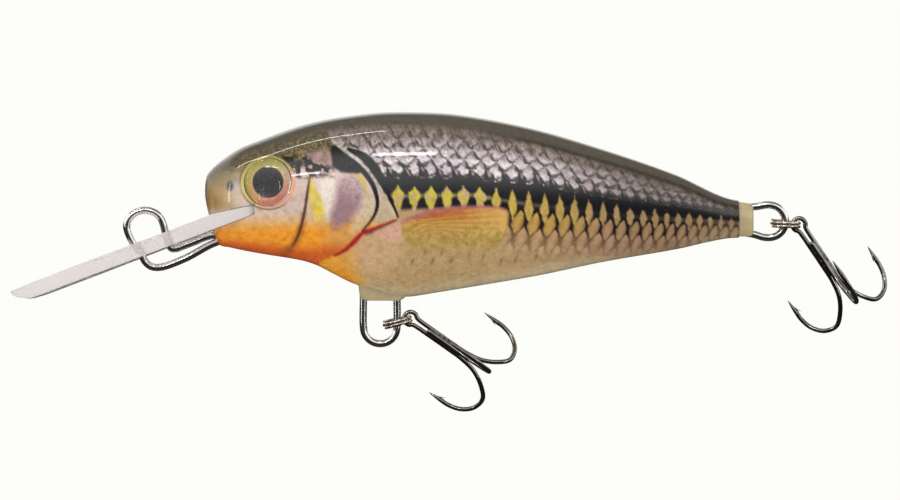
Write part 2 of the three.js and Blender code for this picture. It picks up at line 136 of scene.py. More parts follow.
def side_at(x, z):
    """Half breadth of the body at x, z: the widest half breadth there times
    (1 - rise^2)^0.45, where rise runs from 0 at the widest line to 1 at the back or the belly."""
    d = x - NOSE_X
    top, bottom, mid = top_at(d), bottom_at(d), middle_at(d)
    rise = np.where(z > mid, (z - mid) / (top - mid), (z - mid) / (mid - bottom))
    return HALF_WIDTH * half_share(d) * np.maximum(1 - rise**2, 0) ** (SECTION_POWER / 2)


def lip_top(x):
    """Upper face of the lip: a straight slope, seven tenths as steep inside the head."""
    x = np.asarray(x, float)
    return 1.5 + (x - 9) * LIP_SLOPE * np.where(x < 9, 1, 0.7)


EYE_Z = float(lip_top(LIP_INNER)) + EYE_R - 0.4
EYE_DEPTH = float(side_at(EYE_X, EYE_Z)) - 0.55


# ------------------------------------------------------------ making meshes
def make_piece(name, points, quads, triangles=None, smooth=True, edge_angle=None):
    """A mesh object from an array of points in millimetres and arrays of corner numbers."""
    faces = quads.tolist() + ([] if triangles is None else triangles.tolist())
    mesh = bpy.data.meshes.new(name)
    mesh.from_pydata((points * MM).tolist(), [], faces)
    mesh.polygons.foreach_set("use_smooth", [smooth] * len(mesh.polygons))
    if edge_angle is not None:
        mesh.set_sharp_from_angle(angle=np.radians(edge_angle))
    piece = bpy.data.objects.new(name, mesh)
    bpy.context.scene.collection.objects.link(piece)
    return piece


def loft(grid, around=True, caps=(True, True)):
    """Faces over a grid of points [station, place round the section, xyz]: four neighbours make a
    face, the last place joins the first when it goes around, and a cap is a fan to the middle of
    an end section. The faces are turned outwards by the sign of the enclosed volume."""
    rows, columns = grid.shape[:2]
    number = np.arange(rows * columns).reshape(rows, columns)
    if around:
        number = np.concatenate([number, number[:, :1]], 1)
    quads = np.stack([number[:-1, :-1], number[:-1, 1:], number[1:, 1:], number[1:, :-1]], -1)
    quads = quads.reshape(-1, 4)
    points = grid.reshape(-1, 3)
    fans = []
    for cap, row, turn in ((caps[0], 0, 1), (caps[1], -1, -1)):
        if cap:
            centre = np.full(columns, len(points))
            points = np.vstack([points, grid[row].mean(0)])
            ring = number[row]
            fans.append(np.stack([ring[1:], ring[:-1], centre], -1)[:, ::turn])
    fans = np.concatenate(fans) if fans else np.zeros((0, 3), int)
    corner = points[quads]
    volume = np.einsum("ij,ij->i", corner[:, 0], np.cross(corner[:, 1], corner[:, 2])).sum()
    volume += np.einsum("ij,ij->i", corner[:, 0], np.cross(corner[:, 2], corner[:, 3])).sum()
    corner = points[fans]
    volume += np.einsum("ij,ij->i", corner[:, 0], np.cross(corner[:, 1], corner[:, 2])).sum()
    if volume < 0:
        quads, fans = quads[:, ::-1], fans[:, ::-1]
    return points, quads, fans


def together(parts):
    """Several (points, quads, triangles) sets as one set."""
    points, quads, fans, base = [], [], [], 0
    for p, q, f in parts:
        points.append(p)
        quads.append(q + base)
        fans.append(f + base)
        base += len(p)
    return np.vstack(points), np.vstack(quads), np.vstack(fans)


def spline(points, per_span):
    """Centripetal Catmull-Rom curve: between two points it is the cubic whose end slopes come from
    the neighbours, weighted by the square roots of the gaps."""
    p = np.asarray(points, float)
    p = np.vstack([2 * p[0] - p[1], p, 2 * p[-1] - p[-2]])
    gap = np.sqrt(np.linalg.norm(np.diff(p, axis=0), axis=1))[:, None]
    p0, p1, p2, p3 = p[:-3], p[1:-2], p[2:-1], p[3:]
    g0, g1, g2 = gap[:-2], gap[1:-1], gap[2:]
    m1 = ((p1 - p0) / g0 - (p2 - p0) / (g0 + g1) + (p2 - p1) / g1) * g1
    m2 = ((p2 - p1) / g1 - (p3 - p1) / (g1 + g2) + (p3 - p2) / g2) * g1
    t = (np.arange(per_span) / per_span)[None, :, None]
    curve = ((2 * t**3 - 3 * t**2 + 1) * p1[:, None] + (t**3 - 2 * t**2 + t) * m1[:, None]
             + (3 * t**2 - 2 * t**3) * p2[:, None] + (t**3 - t**2) * m2[:, None])
    return np.vstack([curve.reshape(-1, 3), p[-2]])


def sweep(path, radius, sides=20, flat=1.0, square=1.0, first=None):
    """A section carried along a path: at each step the section's two directions are the last ones
    turned by the least angle that keeps them square to the path. The section is
    (cos^square, flat * sin^square) times the radius at that step."""
    path = np.asarray(path, float)
    step = np.gradient(path, axis=0)
    step /= np.linalg.norm(step, axis=1)[:, None]
    side = np.array([0.0, 1.0, 0.0]) if first is None else np.asarray(first, float)
    frames = []
    for direction in step:
        side = side - direction * (side @ direction)
        side = side / np.linalg.norm(side)
        frames.append(side)
    side = np.array(frames)
    other = np.cross(step, side)
    a = (np.arange(sides) + 0.5) / sides * tau
    c = np.sign(np.cos(a)) * np.abs(np.cos(a)) ** square
    s = np.sign(np.sin(a)) * np.abs(np.sin(a)) ** square * flat
    r = np.broadcast_to(np.asarray(radius, float), (len(path),))[:, None, None]
    ring = c[None, :, None] * side[:, None, :] + s[None, :, None] * other[:, None, :]
    return loft(path[:, None, :] + r * ring)


# ------------------------------------------------------------ painting on the skin
def rgb(red, green, blue):
    """A colour from its three numbers of 0 to 255, as shares."""
    return np.array([red, green, blue], float) / 255


def grain(x, z, size, seed):
    """Smooth random field from 0 to 1: random values on a square lattice of that size, blended
    between lattice points by the smooth step."""
    values = np.random.RandomState(seed).rand(128, 128)
    u, v = x / size + 50, z / size + 50
    i, j = np.floor(u).astype(int), np.floor(v).astype(int)
    s, t = u - i, v - j
    s, t = s * s * (3 - 2 * s), t * t * (3 - 2 * t)
    a, b = values[i % 128, j % 128], values[(i + 1) % 128, j % 128]
    c, d = values[i % 128, (j + 1) % 128], values[(i + 1) % 128, (j + 1) % 128]
    return (a * (1 - s) + b * s) * (1 - t) + (c * (1 - s) + d * s) * t


def nearest(x, z, line, closed=False):
    """Distance from each x, z to a line of points, the nearest place on it, and how far along."""
    line = np.asarray(line, float)
    if closed:
        line = np.vstack([line, line[:1]])
    best = np.full(x.shape, 1e9)
    place = np.zeros(x.shape + (2,))
    along = np.zeros(x.shape)
    for k in range(len(line) - 1):
        a, b = line[k, :2], line[k + 1, :2]
        run = b - a
        t = np.clip(((x - a[0]) * run[0] + (z - a[1]) * run[1]) / max(run @ run, 1e-12), 0, 1)
        px, pz = a[0] + t * run[0], a[1] + t * run[1]
        d = np.hypot(x - px, z - pz)
        closer = d < best
        best = np.where(closer, d, best)
        place[closer] = np.stack([px, pz], -1)[closer]
        along = np.where(closer, k + t, along)
    return best, place, along


def inside_of(x, z, outline):
    """True where x, z lies within the closed outline: a ray to the right crosses it oddly often."""
    line = np.asarray(outline, float)
    odd = np.zeros(x.shape, bool)
    for a, b in zip(line, np.roll(line, -1, 0)):
        crosses = (a[1] > z) != (b[1] > z)
        reach = (b[0] - a[0]) * (z - a[1]) / ((b[1] - a[1]) if b[1] != a[1] else 1e-12) + a[0]
        odd ^= crosses & (x < reach)
    return odd


def curve2(points, per_span=6):
    """The same smooth curve through points in the plane."""
    p = np.asarray(points, float)
    flat = spline(np.column_stack([p[:, 0], np.zeros(len(p)), p[:, 1]]), per_span)
    return flat[:, [0, 2]]


def patch(x, z, outline, soft):
    """1 inside a closed outline, 0 outside, with an edge of that softness."""
    d = nearest(x, z, outline, closed=True)[0]
    signed = np.where(inside_of(x, z, outline), d, -d)
    return np.clip(0.5 + signed / soft, 0, 1)


def stroke(x, z, points, widths, soft=0.14):
    """A brush line through points whose width changes from point to point."""
    line = curve2(points)
    d, _, along = nearest(x, z, line)
    width = np.interp(along, np.arange(len(points)) * 6, widths)
    return np.clip(0.5 + (width / 2 - d) / soft, 0, 1)


def step(value, edge, soft):
    """0 below the edge and 1 above it, with a smooth ramp of that width."""
    t = np.clip((value - edge) / soft + 0.5, 0, 1)
    return t * t * (3 - 2 * t)


black_ink = rgb(26, 25, 29)


def lay(colour, mask, new):
    """The new colour over the old one, as far as the mask says."""
    mask = mask[..., None]
    return colour * (1 - mask) + new * mask


COLUMN_X = [30, 47, 50, 55, 60, 64, 67, 76]
COLUMN_PITCH = [2.08, 2.08, 2.03, 1.85, 1.76, 1.6, 1.45, 1.3]


def scale_column(x):
    """Number of the scale column at x, counted from the first mark: the sum of 1 / pitch."""
    line = np.linspace(20, 80, 1201)
    sums = np.cumsum(0.05 / np.interp(line, COLUMN_X, COLUMN_PITCH))
    return np.interp(x, line, sums) - np.interp(32.6, line, sums)


SPIKE_AT = [-0.12, 0.1, 0.5, 1.0, 1.5]
SPIKE_CLEAR = [0, 0.27, 0.38, 0.45, 0.56]
BAND_X = [30, 36, 42, 47, 51, 55, 59.5, 66, 76.2]
BAND_TOP = [6.1, 6.2, 5.9, 5.5, 5.2, 4.3, 3.6, 2.8, 1.6]
BAND_LOW = [4.9, 4.5, 3.9, 3.3, 2.8, 2.3, 1.7, 1.2, 0.6]
MARK_MIDDLE = [3.35, 3.45, 3.55, 2.7, 2.1, 1.9, 1.3, 0.8, 0.2]
MARK_HALF = [1.6, 1.45, 1.35, 1.9, 1.9, 1.95, 1.6, 1.2, 0.8]
GILL = [[24.6, 10.9], [26.0, 9.55], [27.9, 8.05], [29.4, 6.3], [30.6, 4.4], [31.7, 2.7], [32.5, 1.05],
        [30.9, 0.4], [29.5, -0.2], [28.1, -0.85], [27.2, -1.75], [26.0, -2.95], [24.6, -3.7], [22.6, -4.6],
        [21.5, -7], [4, -9], [4, 17], [21, 17], [22.6, 12.6]]


def scale_row(colour, x, z, column, pitch, middle, half, lean, tint, cover):
    """One row of spindle-shaped scales, their upper ends leaning back; each is as wide as
    0.38 pitch * (1 - |height|^1.8), height running from -1 to 1 over the spindle."""
    place = column - lean * (z - middle) / pitch + 0.1 * (grain(x, z, 0.5, 31) - 0.5)
    across = np.abs(place - np.round(place)) * pitch
    share = np.clip((z - middle) / half, -1, 1)
    width = 0.38 * pitch * (1 - np.abs(share) ** 1.8)
    spindle = np.clip(0.5 + (width - across) / 0.2, 0, 1) * (np.abs(z - middle) < half)
    shade = (0.25 * np.clip(across / (0.4 * pitch), 0, 1) ** 2)[..., None]
    return lay(colour, spindle * cover, tint * (1 - shade))


def flank_paint(x, z, h_low):
    """The fish's side behind the gill: tan belly, silver scales, black band, yellow marks, back."""
    fine, coarse = grain(x, z, 0.2, 1), grain(x, z, 0.9, 2)
    column = scale_column(x)
    band_top, band_low = np.interp(x, BAND_X, BAND_TOP), np.interp(x, BAND_X, BAND_LOW)
    mark_z, mark_half = np.interp(x, BAND_X, MARK_MIDDLE), np.interp(x, BAND_X, MARK_HALF)
    pitch = np.interp(x, COLUMN_X, COLUMN_PITCH)
    plain = np.zeros(x.shape + (3,))
    black = black_ink

    colour = plain + rgb(180, 150, 106)
    colour = lay(colour, step(x, 54, 20), rgb(172, 138, 106))
    colour = lay(colour, 0.25 * step(fine, 0.55, 0.5), rgb(158, 126, 86))
    colour = lay(colour, 0.8 * step(-h_low, -1.1, 1.8) * step(x, 26, 6), rgb(196, 178, 142))

    # silver scales above the band: a lattice of slanting lines, each scale paler at its lower tip
    lift = (z - band_top) / (0.6 * pitch)
    stray = 0.22 * (grain(x, z, 2.2, 21) - 0.5) * np.clip(lift, 0, 2.0)
    bow = 0.05 * np.sin(tau * (lift % 1))
    one, two = column + lift / 2 + stray + bow, column - lift / 2 - stray + bow
    near_one = np.abs(one - np.round(one)) * pitch
    near_two = np.abs(two - np.round(two)) * pitch
    silver = lay(plain + rgb(186, 172, 174), step(x, 55, 24), rgb(118, 101, 90))
    silver = lay(silver, 0.85 * step(z - band_top, 4.0, 3.6), rgb(104, 90, 76))
    tall = (one % 1) + ((-two) % 1)
    pale = np.exp(-((tall - 0.75) / 0.5) ** 2) * (1 - 0.7 * step(lift, 3.6, 3)) * (1 - 0.75 * step(x, 56, 20))
    silver = lay(silver, 0.85 * pale, rgb(234, 223, 228))
    silver = lay(silver, 0.55 * step(tall, 1.45, 0.6), rgb(112, 94, 90))
    silver = lay(silver, 0.32 * step(fine, 0.6, 0.3), rgb(98, 84, 78))
    speck = grain(x + 0.35 * z, 0.3 * z, 0.16, 22)
    silver = lay(silver, 0.5 * step(speck, 0.62, 0.2) * step(z - band_top, 3.2, 2.4), rgb(66, 54, 46))
    silver = lay(silver, 0.3 * step(coarse, 0.6, 0.3), rgb(158, 134, 146))
    silver = lay(silver, 0.35 * step(grain(x, z, 0.26, 9), 0.7, 0.2), rgb(214, 202, 206))
    opening = 1.5 - 1.45 * (lift % 1)
    line_width = np.interp(lift, [0, 0.8, 1.6, 3, 6], [0.3, 0.26, 0.21, 0.13, 0.08]) * opening
    fade = np.interp(lift, [0, 1.5, 3, 5, 7.5], [1, 0.9, 0.7, 0.5, 0.3])
    wobble = np.clip(2.2 * grain(x, z, 0.6, 3) + 0.1, 0.35, 2.0)
    wobble_two = np.clip(2.4 * grain(x, z, 0.65, 4) - 0.1, 0.2, 1.9)
    bend = 0.12 * (grain(x, z, 0.9, 5) - 0.5)
    leaning = np.clip(0.5 + (line_width * wobble - np.abs(near_one + bend)) / 0.18, 0, 1)
    other = np.clip(0.5 + (0.8 * line_width * wobble_two - np.abs(near_two - bend)) / 0.18, 0, 1) * 0.8
    silver = lay(silver, np.maximum(leaning, other) * fade, rgb(42, 36, 38))
    spike = column + 0.16 * lift + 0.1 * (coarse - 0.5)
    tip = np.abs(spike - np.round(spike)) * pitch
    silver = lay(silver, np.clip(0.5 + (tip - pitch * np.interp(lift, SPIKE_AT, SPIKE_CLEAR)) / 0.16, 0, 1),
                 black)
    colour = lay(colour, step(z, band_top - 0.1, 0.12), silver)

    # black band, running down between the yellow marks
    colour = lay(colour, step(z, band_low, 0.35) * (z < band_top - 0.1), black)
    foot = mark_z - mark_half * np.interp(x, [44, 47], [0.9, 0.45])
    colour = lay(colour, step(z, foot, 0.6) * (z < band_low + 0.2)
                 * np.interp(x, [30, 46, 60, 74], [0.9, 1, 0.9, 0.5]), black)
    thread = np.exp(-((z - mark_z - 0.35) / 0.24) ** 2) * step(-x, -50, 14) * (0.4 + 0.6 * coarse)
    colour = lay(colour, thread * 0.9, rgb(182, 160, 112))

    # rows of scales under the marks: dark ground that fades downwards, covered by the spindles
    row = 2.15 * np.interp(x, [46, 60, 74], [1, 0.85, 0.6])
    size = 1.6 * np.interp(x, [46, 60, 74], [1, 0.85, 0.6])
    behind = step(x, 46.4, 1.4) * (1 - 0.6 * step(x, 70, 8))
    under = (mark_z - z) / row
    ground = np.interp(under, [0.2, 1.3, 1.8, 2.3, 3.0], [1, 1, 0.7, 0.4, 0.12])
    scales = lay(colour, ground, lay(plain + rgb(34, 26, 26), step(under, 1.5, 0.8), rgb(92, 64, 48)))
    for k, tint in ((3, rgb(186, 154, 116)), (2, rgb(184, 148, 108)), (1, rgb(188, 150, 78))):
        tinted = lay(plain + tint, step(x, 56, 8) * 0.8, rgb(182, 144, 112))
        scales = scale_row(scales, x, z, column + 0.84 * k - 0.17, pitch, mark_z - row * k, size, 0.3,
                           tinted, 1.0)
    colour = lay(colour, behind * (under > 0.1) * (1 - step(under, 2.9, 0.8)), scales)

    # yellow marks: blocky flags in front, pointed spindles behind
    jag = 0.26 * (grain(x, z, 0.42, 33) - 0.5)
    across = np.abs(column - np.round(column)) * pitch + jag
    share = np.clip((z - mark_z) / mark_half, -1, 1)
    flag = np.interp(share, [-1, -0.6, -0.2, 0.15, 0.45, 0.7, 1], [0.26, 0.4, 0.56, 0.8, 0.72, 0.34, 0.06])
    spindle = 0.56 * (1 - np.abs(share) ** 1.5) * (1 - 0.15 * share)
    width = np.where(x < 43.8, flag, spindle) * pitch / 2.08
    at_mark = np.abs(z - mark_z) < mark_half + 0.1
    spot = np.clip(0.5 + (width - across) / 0.18, 0, 1) * at_mark * step(x, 31, 0.6)
    yellow = lay(plain + rgb(196, 184, 70), step(x, 46, 8), rgb(190, 156, 80))
    yellow = lay(yellow, 0.75 * step(grain(x, z, 0.5, 35), 0.62, 0.2) * step(-x, -46, 4), rgb(196, 150, 146))
    yellow = lay(yellow, step(x, 57, 12), rgb(184, 146, 112))
    yellow = lay(yellow, 0.5 * step(grain(x, z, 0.24, 34), 0.55, 0.4), rgb(170, 148, 70))
    yellow = lay(yellow, 0.35 * step(x, 50, 8) * step(across, 0.3, 0.3), rgb(206, 176, 138))
    colour = lay(colour, spot, yellow)

    # small slanting flecks on the belly
    for fx, fz in ((34.4, -4.6), (37.0, -4.5), (39.4, -4.4), (41.7, -3.6), (43.4, -4.0), (45.7, -4.6),
                   (47.6, -4.2), (36.0, -3.4), (50.2, -3.9), (38.2, -3.3)):
        fleck = np.exp(-(((x - fx) - 0.3 * (z - fz)) / 0.16) ** 2 - ((z - fz) / 0.5) ** 2)
        colour = lay(colour, 0.5 * fleck, rgb(98, 78, 44))
    return colour


FIN = [[33.1, 0.3], [34.5, 1.0], [36.7, 1.75], [39.2, 2.2], [42.5, 2.35], [45.6, 2.25], [46.5, 1.8],
       [46.6, 0.6], [46.3, -0.8], [45.3, -2.2], [44.0, -3.1], [40.5, -3.9], [36.5, -3.9], [34.0, -3.2],
       [33.2, -1.4]]


def fin_paint(colour, x, z):
    """The fin pressed flat on the side: fine rays run back from its root and fan a little."""
    plain = np.zeros(x.shape + (3,))
    area = patch(x, z, curve2(FIN + FIN[:1]), 0.35)
    area = area * (1 - 0.8 * step(-z, 2.9 - 0.35 * grain(x, z, 1.3, 6), 1.3))
    ray = np.arctan2(z - 0.2, x - 29.5)
    lines = 0.5 + 0.5 * np.sin(ray * 120 + 0.8 * grain(x, z, 1.4, 7))
    body = lay(plain + rgb(200, 158, 78), step(-z, 0.6, 2.4), rgb(186, 152, 90))
    body = lay(body, 0.85 * step(z + 0.02 * (x - 34), 0.9, 1.3) * (1 - 0.45 * step(x, 42, 5)),
               rgb(196, 116, 56))
    body = lay(body, step(x, 42, 6) * 0.7 * step(z, -1.2, 2), rgb(212, 172, 98))
    body = lay(body, 0.4 * lines * step(z, -0.7, 2.0) * step(-x, -44, 8), rgb(140, 78, 40))
    body = lay(body, 0.45 * step(grain(x, z, 0.32, 8), 0.55, 0.4) * step(-z, 0.4, 2), rgb(142, 120, 48))
    colour = lay(colour, area, body)
    colour = lay(colour, 0.5 * stroke(x, z, FIN[6:11], [0.1, 0.2, 0.25, 0.2, 0.1], 0.4), rgb(150, 112, 62))
    colour = lay(colour, 0.8 * stroke(x, z, FIN[:7], [0.25, 0.5, 0.55, 0.5, 0.42, 0.3, 0.15], 0.3),
                 rgb(168, 98, 108))
    return lay(colour, 0.55 * stroke(x, z, [[34.2, 0.4], [37, 1.25], [41, 1.75]], [0.1, 0.2, 0.05]),
               rgb(150, 46, 40))


def head_paint(x, z):
    """The head: gold-speckled olive crown, rose and pearl cheek, orange throat, dark gill lines."""
    fine, coarse = grain(x, z, 0.2, 11), grain(x, z, 0.75, 12)
    plain = np.zeros(x.shape + (3,))
    colour = plain + rgb(208, 184, 172)
    colour = lay(colour, step(-z, -1.0, 2.4), rgb(222, 172, 112))
    colour = lay(colour, step(-z, 0.2 - 0.02 * (x - 16), 1.9), rgb(234, 150, 44))
    colour = lay(colour, step(-z, 2.5 + 0.11 * (x - 16), 1.5), rgb(208, 92, 26))
    colour = lay(colour, 0.85 * step(x, 23.5, 4) * step(-z, -0.4, 3.2), rgb(206, 150, 84))
    colour = lay(colour, 0.85 * step(x, 22.0, 4) * step(-z, 2.5, 1.6), rgb(198, 92, 34))
    # snout and crown
    crown = 7.3 + 0.05 * (x - 16) + 0.7 * (coarse - 0.5)
    colour = lay(colour, 0.9 * step(-x, -11.4, 3.2) * step(z, 2.0, 1.6), rgb(150, 118, 66))
    colour = lay(colour, 0.7 * step(-x, -13.2, 3.0) * step(z, 5.0, 2.0), rgb(132, 118, 78))
    gold = lay(plain + rgb(82, 74, 50), step(fine, 0.55, 0.4), rgb(114, 102, 62))
    gold = lay(gold, 0.5 * step(fine, 0.68, 0.2) * step(coarse, 0.4, 0.4), rgb(160, 140, 84))
    gold = lay(gold, 0.5 * step(-fine, -0.32, 0.3), rgb(56, 50, 36))
    colour = lay(colour, step(z, crown, 1.6), gold)
    # rose patch and dark spots behind the eye
    rose = patch(x, z, curve2([[20.5, 9.2], [23.4, 9.8], [24.8, 8.2], [24.4, 7.0], [21.2, 7.0],
                               [20.5, 9.2]]), 1.0)
    colour = lay(colour, 0.8 * rose * (0.5 + 0.7 * coarse).clip(0, 1), rgb(176, 142, 146))
    spots = step(grain(x, z, 0.5, 13) + 0.4 * fine, 0.68, 0.2)
    zone = patch(x, z, [[17.7, 8.9], [20.6, 9.0], [24.3, 7.3], [24.6, 6.1], [19.4, 6.1], [18.2, 7.2]], 0.7)
    colour = lay(colour, zone * spots, rgb(30, 28, 30))
    for bx, bz, bl, bh in ((18.7, 8.15, 0.7, 0.42), (20.0, 7.9, 0.65, 0.45), (21.1, 8.0, 0.4, 0.3),
                           (19.9, 6.3, 0.4, 0.22), (23.1, 6.4, 0.8, 0.25), (22.4, 6.1, 0.35, 0.15)):
        blot = np.exp(-(((x - bx) / bl) ** 2 + ((z - bz) / bh) ** 2) ** 2)
        colour = lay(colour, 0.9 * blot * (0.4 + fine).clip(0, 1), rgb(30, 28, 32))
    # pearl, yellow and mauve patches of the gill cover
    pearl = patch(x, z, curve2([[22.4, 6.1], [24.8, 6.0], [25.0, 3.2], [23.8, 0.6], [22.6, 2.6],
                                [22.4, 6.1]]), 1.2)
    colour = lay(colour, 0.85 * pearl, rgb(232, 220, 210))
    drop = patch(x, z, curve2([[21.4, 6.0], [22.1, 4.6], [23.0, 2.9], [23.2, 1.4], [22.5, 0.6], [21.7, 1.5],
                               [21.3, 3.6], [21.4, 6.0]]), 0.8)
    colour = lay(colour, 0.95 * drop * (0.35 + 0.9 * coarse).clip(0, 1), rgb(216, 192, 44))
    mauve = patch(x, z, curve2([[25.0, 6.2], [27.4, 6.5], [28.4, 4.8], [27.7, 2.3], [26.3, 0.5], [24.5, -0.4],
                                [24.1, 1.3], [24.7, 3.4], [25.0, 6.2]]), 1.1)
    tint = lay(plain + rgb(150, 116, 124), step(z + 0.5 * (x - 26), 4.4, 3.6), rgb(186, 160, 162))
    colour = lay(colour, 0.9 * mauve, lay(tint, 0.5 * step(fine, 0.6, 0.4), rgb(134, 100, 108)))
    colour = lay(colour, 0.8 * stroke(x, z, [[27.3, 6.6], [28.2, 5.6], [28.5, 4.2]], [0.4, 0.5, 0.2], 0.3),
                 rgb(200, 176, 50))
    rim = patch(x, z, curve2([[28.8, 4.8], [29.6, 3.4], [29.4, 1.6], [28.2, -0.2], [26.6, -0.8],
                              [28.1, 2.2], [28.8, 4.8]]), 0.8)
    colour = lay(colour, 0.85 * rim, rgb(198, 178, 146))
    # cheek line, dark wedge and gill edge
    colour = lay(colour, 0.7 * stroke(x, z, [[20.7, 1.6], [20.2, -0.6], [19.3, -2.4], [18.0, -3.7]],
                                      [0.4, 0.8, 0.9, 0.9], 0.7), rgb(150, 80, 36))
    colour = lay(colour, 0.9 * stroke(x, z, [[21.4, 6.2], [21.1, 4.2], [20.8, 2.2], [20.4, 0.4],
                                             [19.8, -1.4], [19.1, -2.7]], [0.2, 0.34, 0.36, 0.32, 0.3, 0.1],
                                      0.2), rgb(66, 42, 36))
    wedge = patch(x, z, [[24.0, 10.1], [24.3, 7.5], [25.4, 6.75], [27.5, 6.6], [28.4, 6.8], [28.6, 7.3],
                         [27.0, 8.5], [25.2, 10.3]], 0.3)
    colour = lay(colour, wedge * (0.75 + 0.5 * fine).clip(0, 1), black_ink)
    colour = lay(colour, stroke(x, z, [[27.5, 7.9], [28.6, 6.5], [29.4, 5.2], [29.9, 3.7], [30.0, 2.7],
                                       [29.7, 1.5], [29.0, 0.4], [28.1, -0.6]],
                                [0.9, 0.8, 0.66, 0.5, 0.5, 0.4, 0.3, 0.2]), black_ink)
    # the iris print runs on round the eye's hole, with a thin dark edge below that is painted shade at the
    # socket's rim
    h, v = x - EYE_X, z - EYE_Z
    round_eye = np.hypot(h * 0.95, v)
    warm = lay(plain + rgb(190, 178, 84), step(h - v, 1.0, 4), rgb(224, 156, 130))
    colour = lay(colour, 0.85 * np.clip(0.5 + (3.38 - round_eye) / 0.2, 0, 1), warm)
    # painted shade at the socket's rim, only below and in front of the eye
    colour = lay(colour, 0.7 * np.exp(-((round_eye - 3.45) / 0.1) ** 2) * step(-h - v, 0.4, 3),
                 rgb(88, 66, 40))
    # nostril and the paler skin round it and above the slot
    colour = lay(colour, 0.7 * np.exp(-(((x - 12.0) / 0.7) ** 2 + ((z - 4.7) / 1.1) ** 2) ** 2),
                 rgb(178, 164, 168))
    colour = lay(colour, np.exp(-(((x - 11.2) / 0.42) ** 2 + ((z - 5.0) / 0.62) ** 2) ** 2), rgb(36, 33, 38))
    pale = patch(x, z, [[9.9, 4.2], [13.0, 5.0], [13.2, 3.1], [10.2, 2.2]], 1.6)
    return lay(colour, 0.45 * pale, rgb(204, 184, 150))


def print_colour(x, z):
    """The whole print at x, z on the side of the body."""
    d = x - NOSE_X
    h_low, h_top = z - bottom_at(d), top_at(d) - z
    fine = grain(x, z, 0.22, 40)
    colour = flank_paint(x, z, h_low)
    # peach area between the gill line and the fin, orange along the belly behind the gill
    peach = patch(x, z, [[28.5, -0.9], [31.8, 0.6], [33.6, 0.2], [33.4, -3.4], [30.5, -6.6], [26, -5.6],
                         [26.2, -2.6]], 1.6)
    colour = lay(colour, 0.7 * peach, rgb(204, 164, 126))
    blush = patch(x, z, [[30.0, -0.6], [32.6, 0.5], [33.2, -0.2], [32.8, -1.8], [30.5, -1.8]], 0.9)
    colour = lay(colour, 0.7 * blush, rgb(206, 160, 146))
    colour = fin_paint(colour, x, z)
    orange = step(-h_low, -1.5, 2.4) * (1 - step(x, 27.6, 4.2)) * step(x, 17, 3)
    colour = lay(colour, orange, rgb(238, 150, 22))
    colour = lay(colour, 0.75 * step(-x, -26.6, 4.4) * step(-z, 2.0, 3), rgb(230, 154, 48))
    head = patch(x, z, curve2(GILL[:13]).tolist() + GILL[13:], 0.2)
    colour = lay(colour, head, head_paint(x, z))
    # gill strip: pale line with black behind it, then the red line below
    colour = lay(colour, stroke(x, z, [[26.3, 9.7], [28.3, 8.7], [29.8, 7.0], [30.8, 5.1], [31.9, 2.8],
                                       [32.6, 1.1]], [0.5, 1.1, 1.25, 0.6, 0.34, 0.26]), black_ink)
    pale = lay(np.zeros(x.shape + (3,)) + rgb(158, 150, 138), step(fine, 0.55, 0.4), rgb(196, 190, 178))
    colour = lay(colour, stroke(x, z, [[24.3, 10.8], [26.0, 9.4], [27.9, 7.95], [29.3, 6.3], [30.45, 4.4]],
                                [0.5, 0.42, 0.4, 0.36, 0.5]), pale)
    strip = patch(x, z, [[30.3, 4.9], [30.9, 3.9], [31.8, 2.1], [32.2, 1.1], [31.0, 0.5], [29.4, 0.2],
                         [30.2, 1.8], [30.4, 3.2]], 0.3)
    colour = lay(colour, 0.9 * strip, rgb(188, 168, 138))
    colour = lay(colour, 0.85 * stroke(x, z, [[28.6, -1.1], [30.4, -0.2], [32.3, 0.65]], [0.2, 0.25, 0.24],
                                       0.3), rgb(72, 30, 32))
    colour = lay(colour, stroke(x, z, [[24.5, -3.85], [26.0, -3.0], [27.2, -1.85], [28.1, -0.95],
                                       [29.6, -0.35], [31.0, 0.2], [32.4, 0.8]],
                                [0.25, 0.5, 0.66, 0.52, 0.36, 0.26, 0.14]), rgb(164, 30, 40))
    colour = colour * (1 - 0.16 * step(x, 58, 22))[..., None]
    # plain back, with a dark line along its lower side
    back_low = np.interp(x, [7.8, 20, 30, 36, 45, 56, 66, 76.2], [0.9, 1.3, 1.6, 1.75, 1.8, 1.65, 1.3, 0.8])
    edge = grain(x, z, 0.45, 21)
    colour = lay(colour, 0.6 * np.exp(-((h_top - back_low) / 1.3).clip(0, 9) ** 1.5), rgb(86, 74, 62))
    colour = lay(colour, step(back_low - h_top, 0.3 * (edge - 0.5), 0.5), rgb(80, 72, 60))
    colour = lay(colour, 0.6 * np.exp(-((h_top - back_low - 0.1) / 0.26) ** 2) * step(x, 46, 14),
                 rgb(38, 33, 28))
    return np.clip(colour, 0, 1)


def to_linear(colour):
    """Display colour into linear light: a straight start, then a 2.4 power."""
    return np.where(colour <= 0.04045, colour / 12.92, ((colour + 0.055) / 1.055) ** 2.4)


def keep_print(piece, colour):
    """Stores a painted colour at every vertex of the piece, in linear light."""
    store = piece.data.attributes.new("print_colour", "FLOAT_COLOR", "POINT")
    store.data.foreach_set("color", np.column_stack([to_linear(colour), np.ones(len(colour))]).ravel())


# ------------------------------------------------------------ printed skins
SLOT = [[LIP_TIP, float(lip_top(LIP_TIP))], [9, 1.54], [LIP_INNER + 0.04, float(lip_top(LIP_INNER)) - 0.21],
        [LIP_INNER + 0.04, float(lip_top(LIP_INNER)) - 1.49], [9, 1.5 - LIP_DROP - 0.04],
        [LIP_TIP, float(lip_top(LIP_TIP)) - LIP_DROP]]


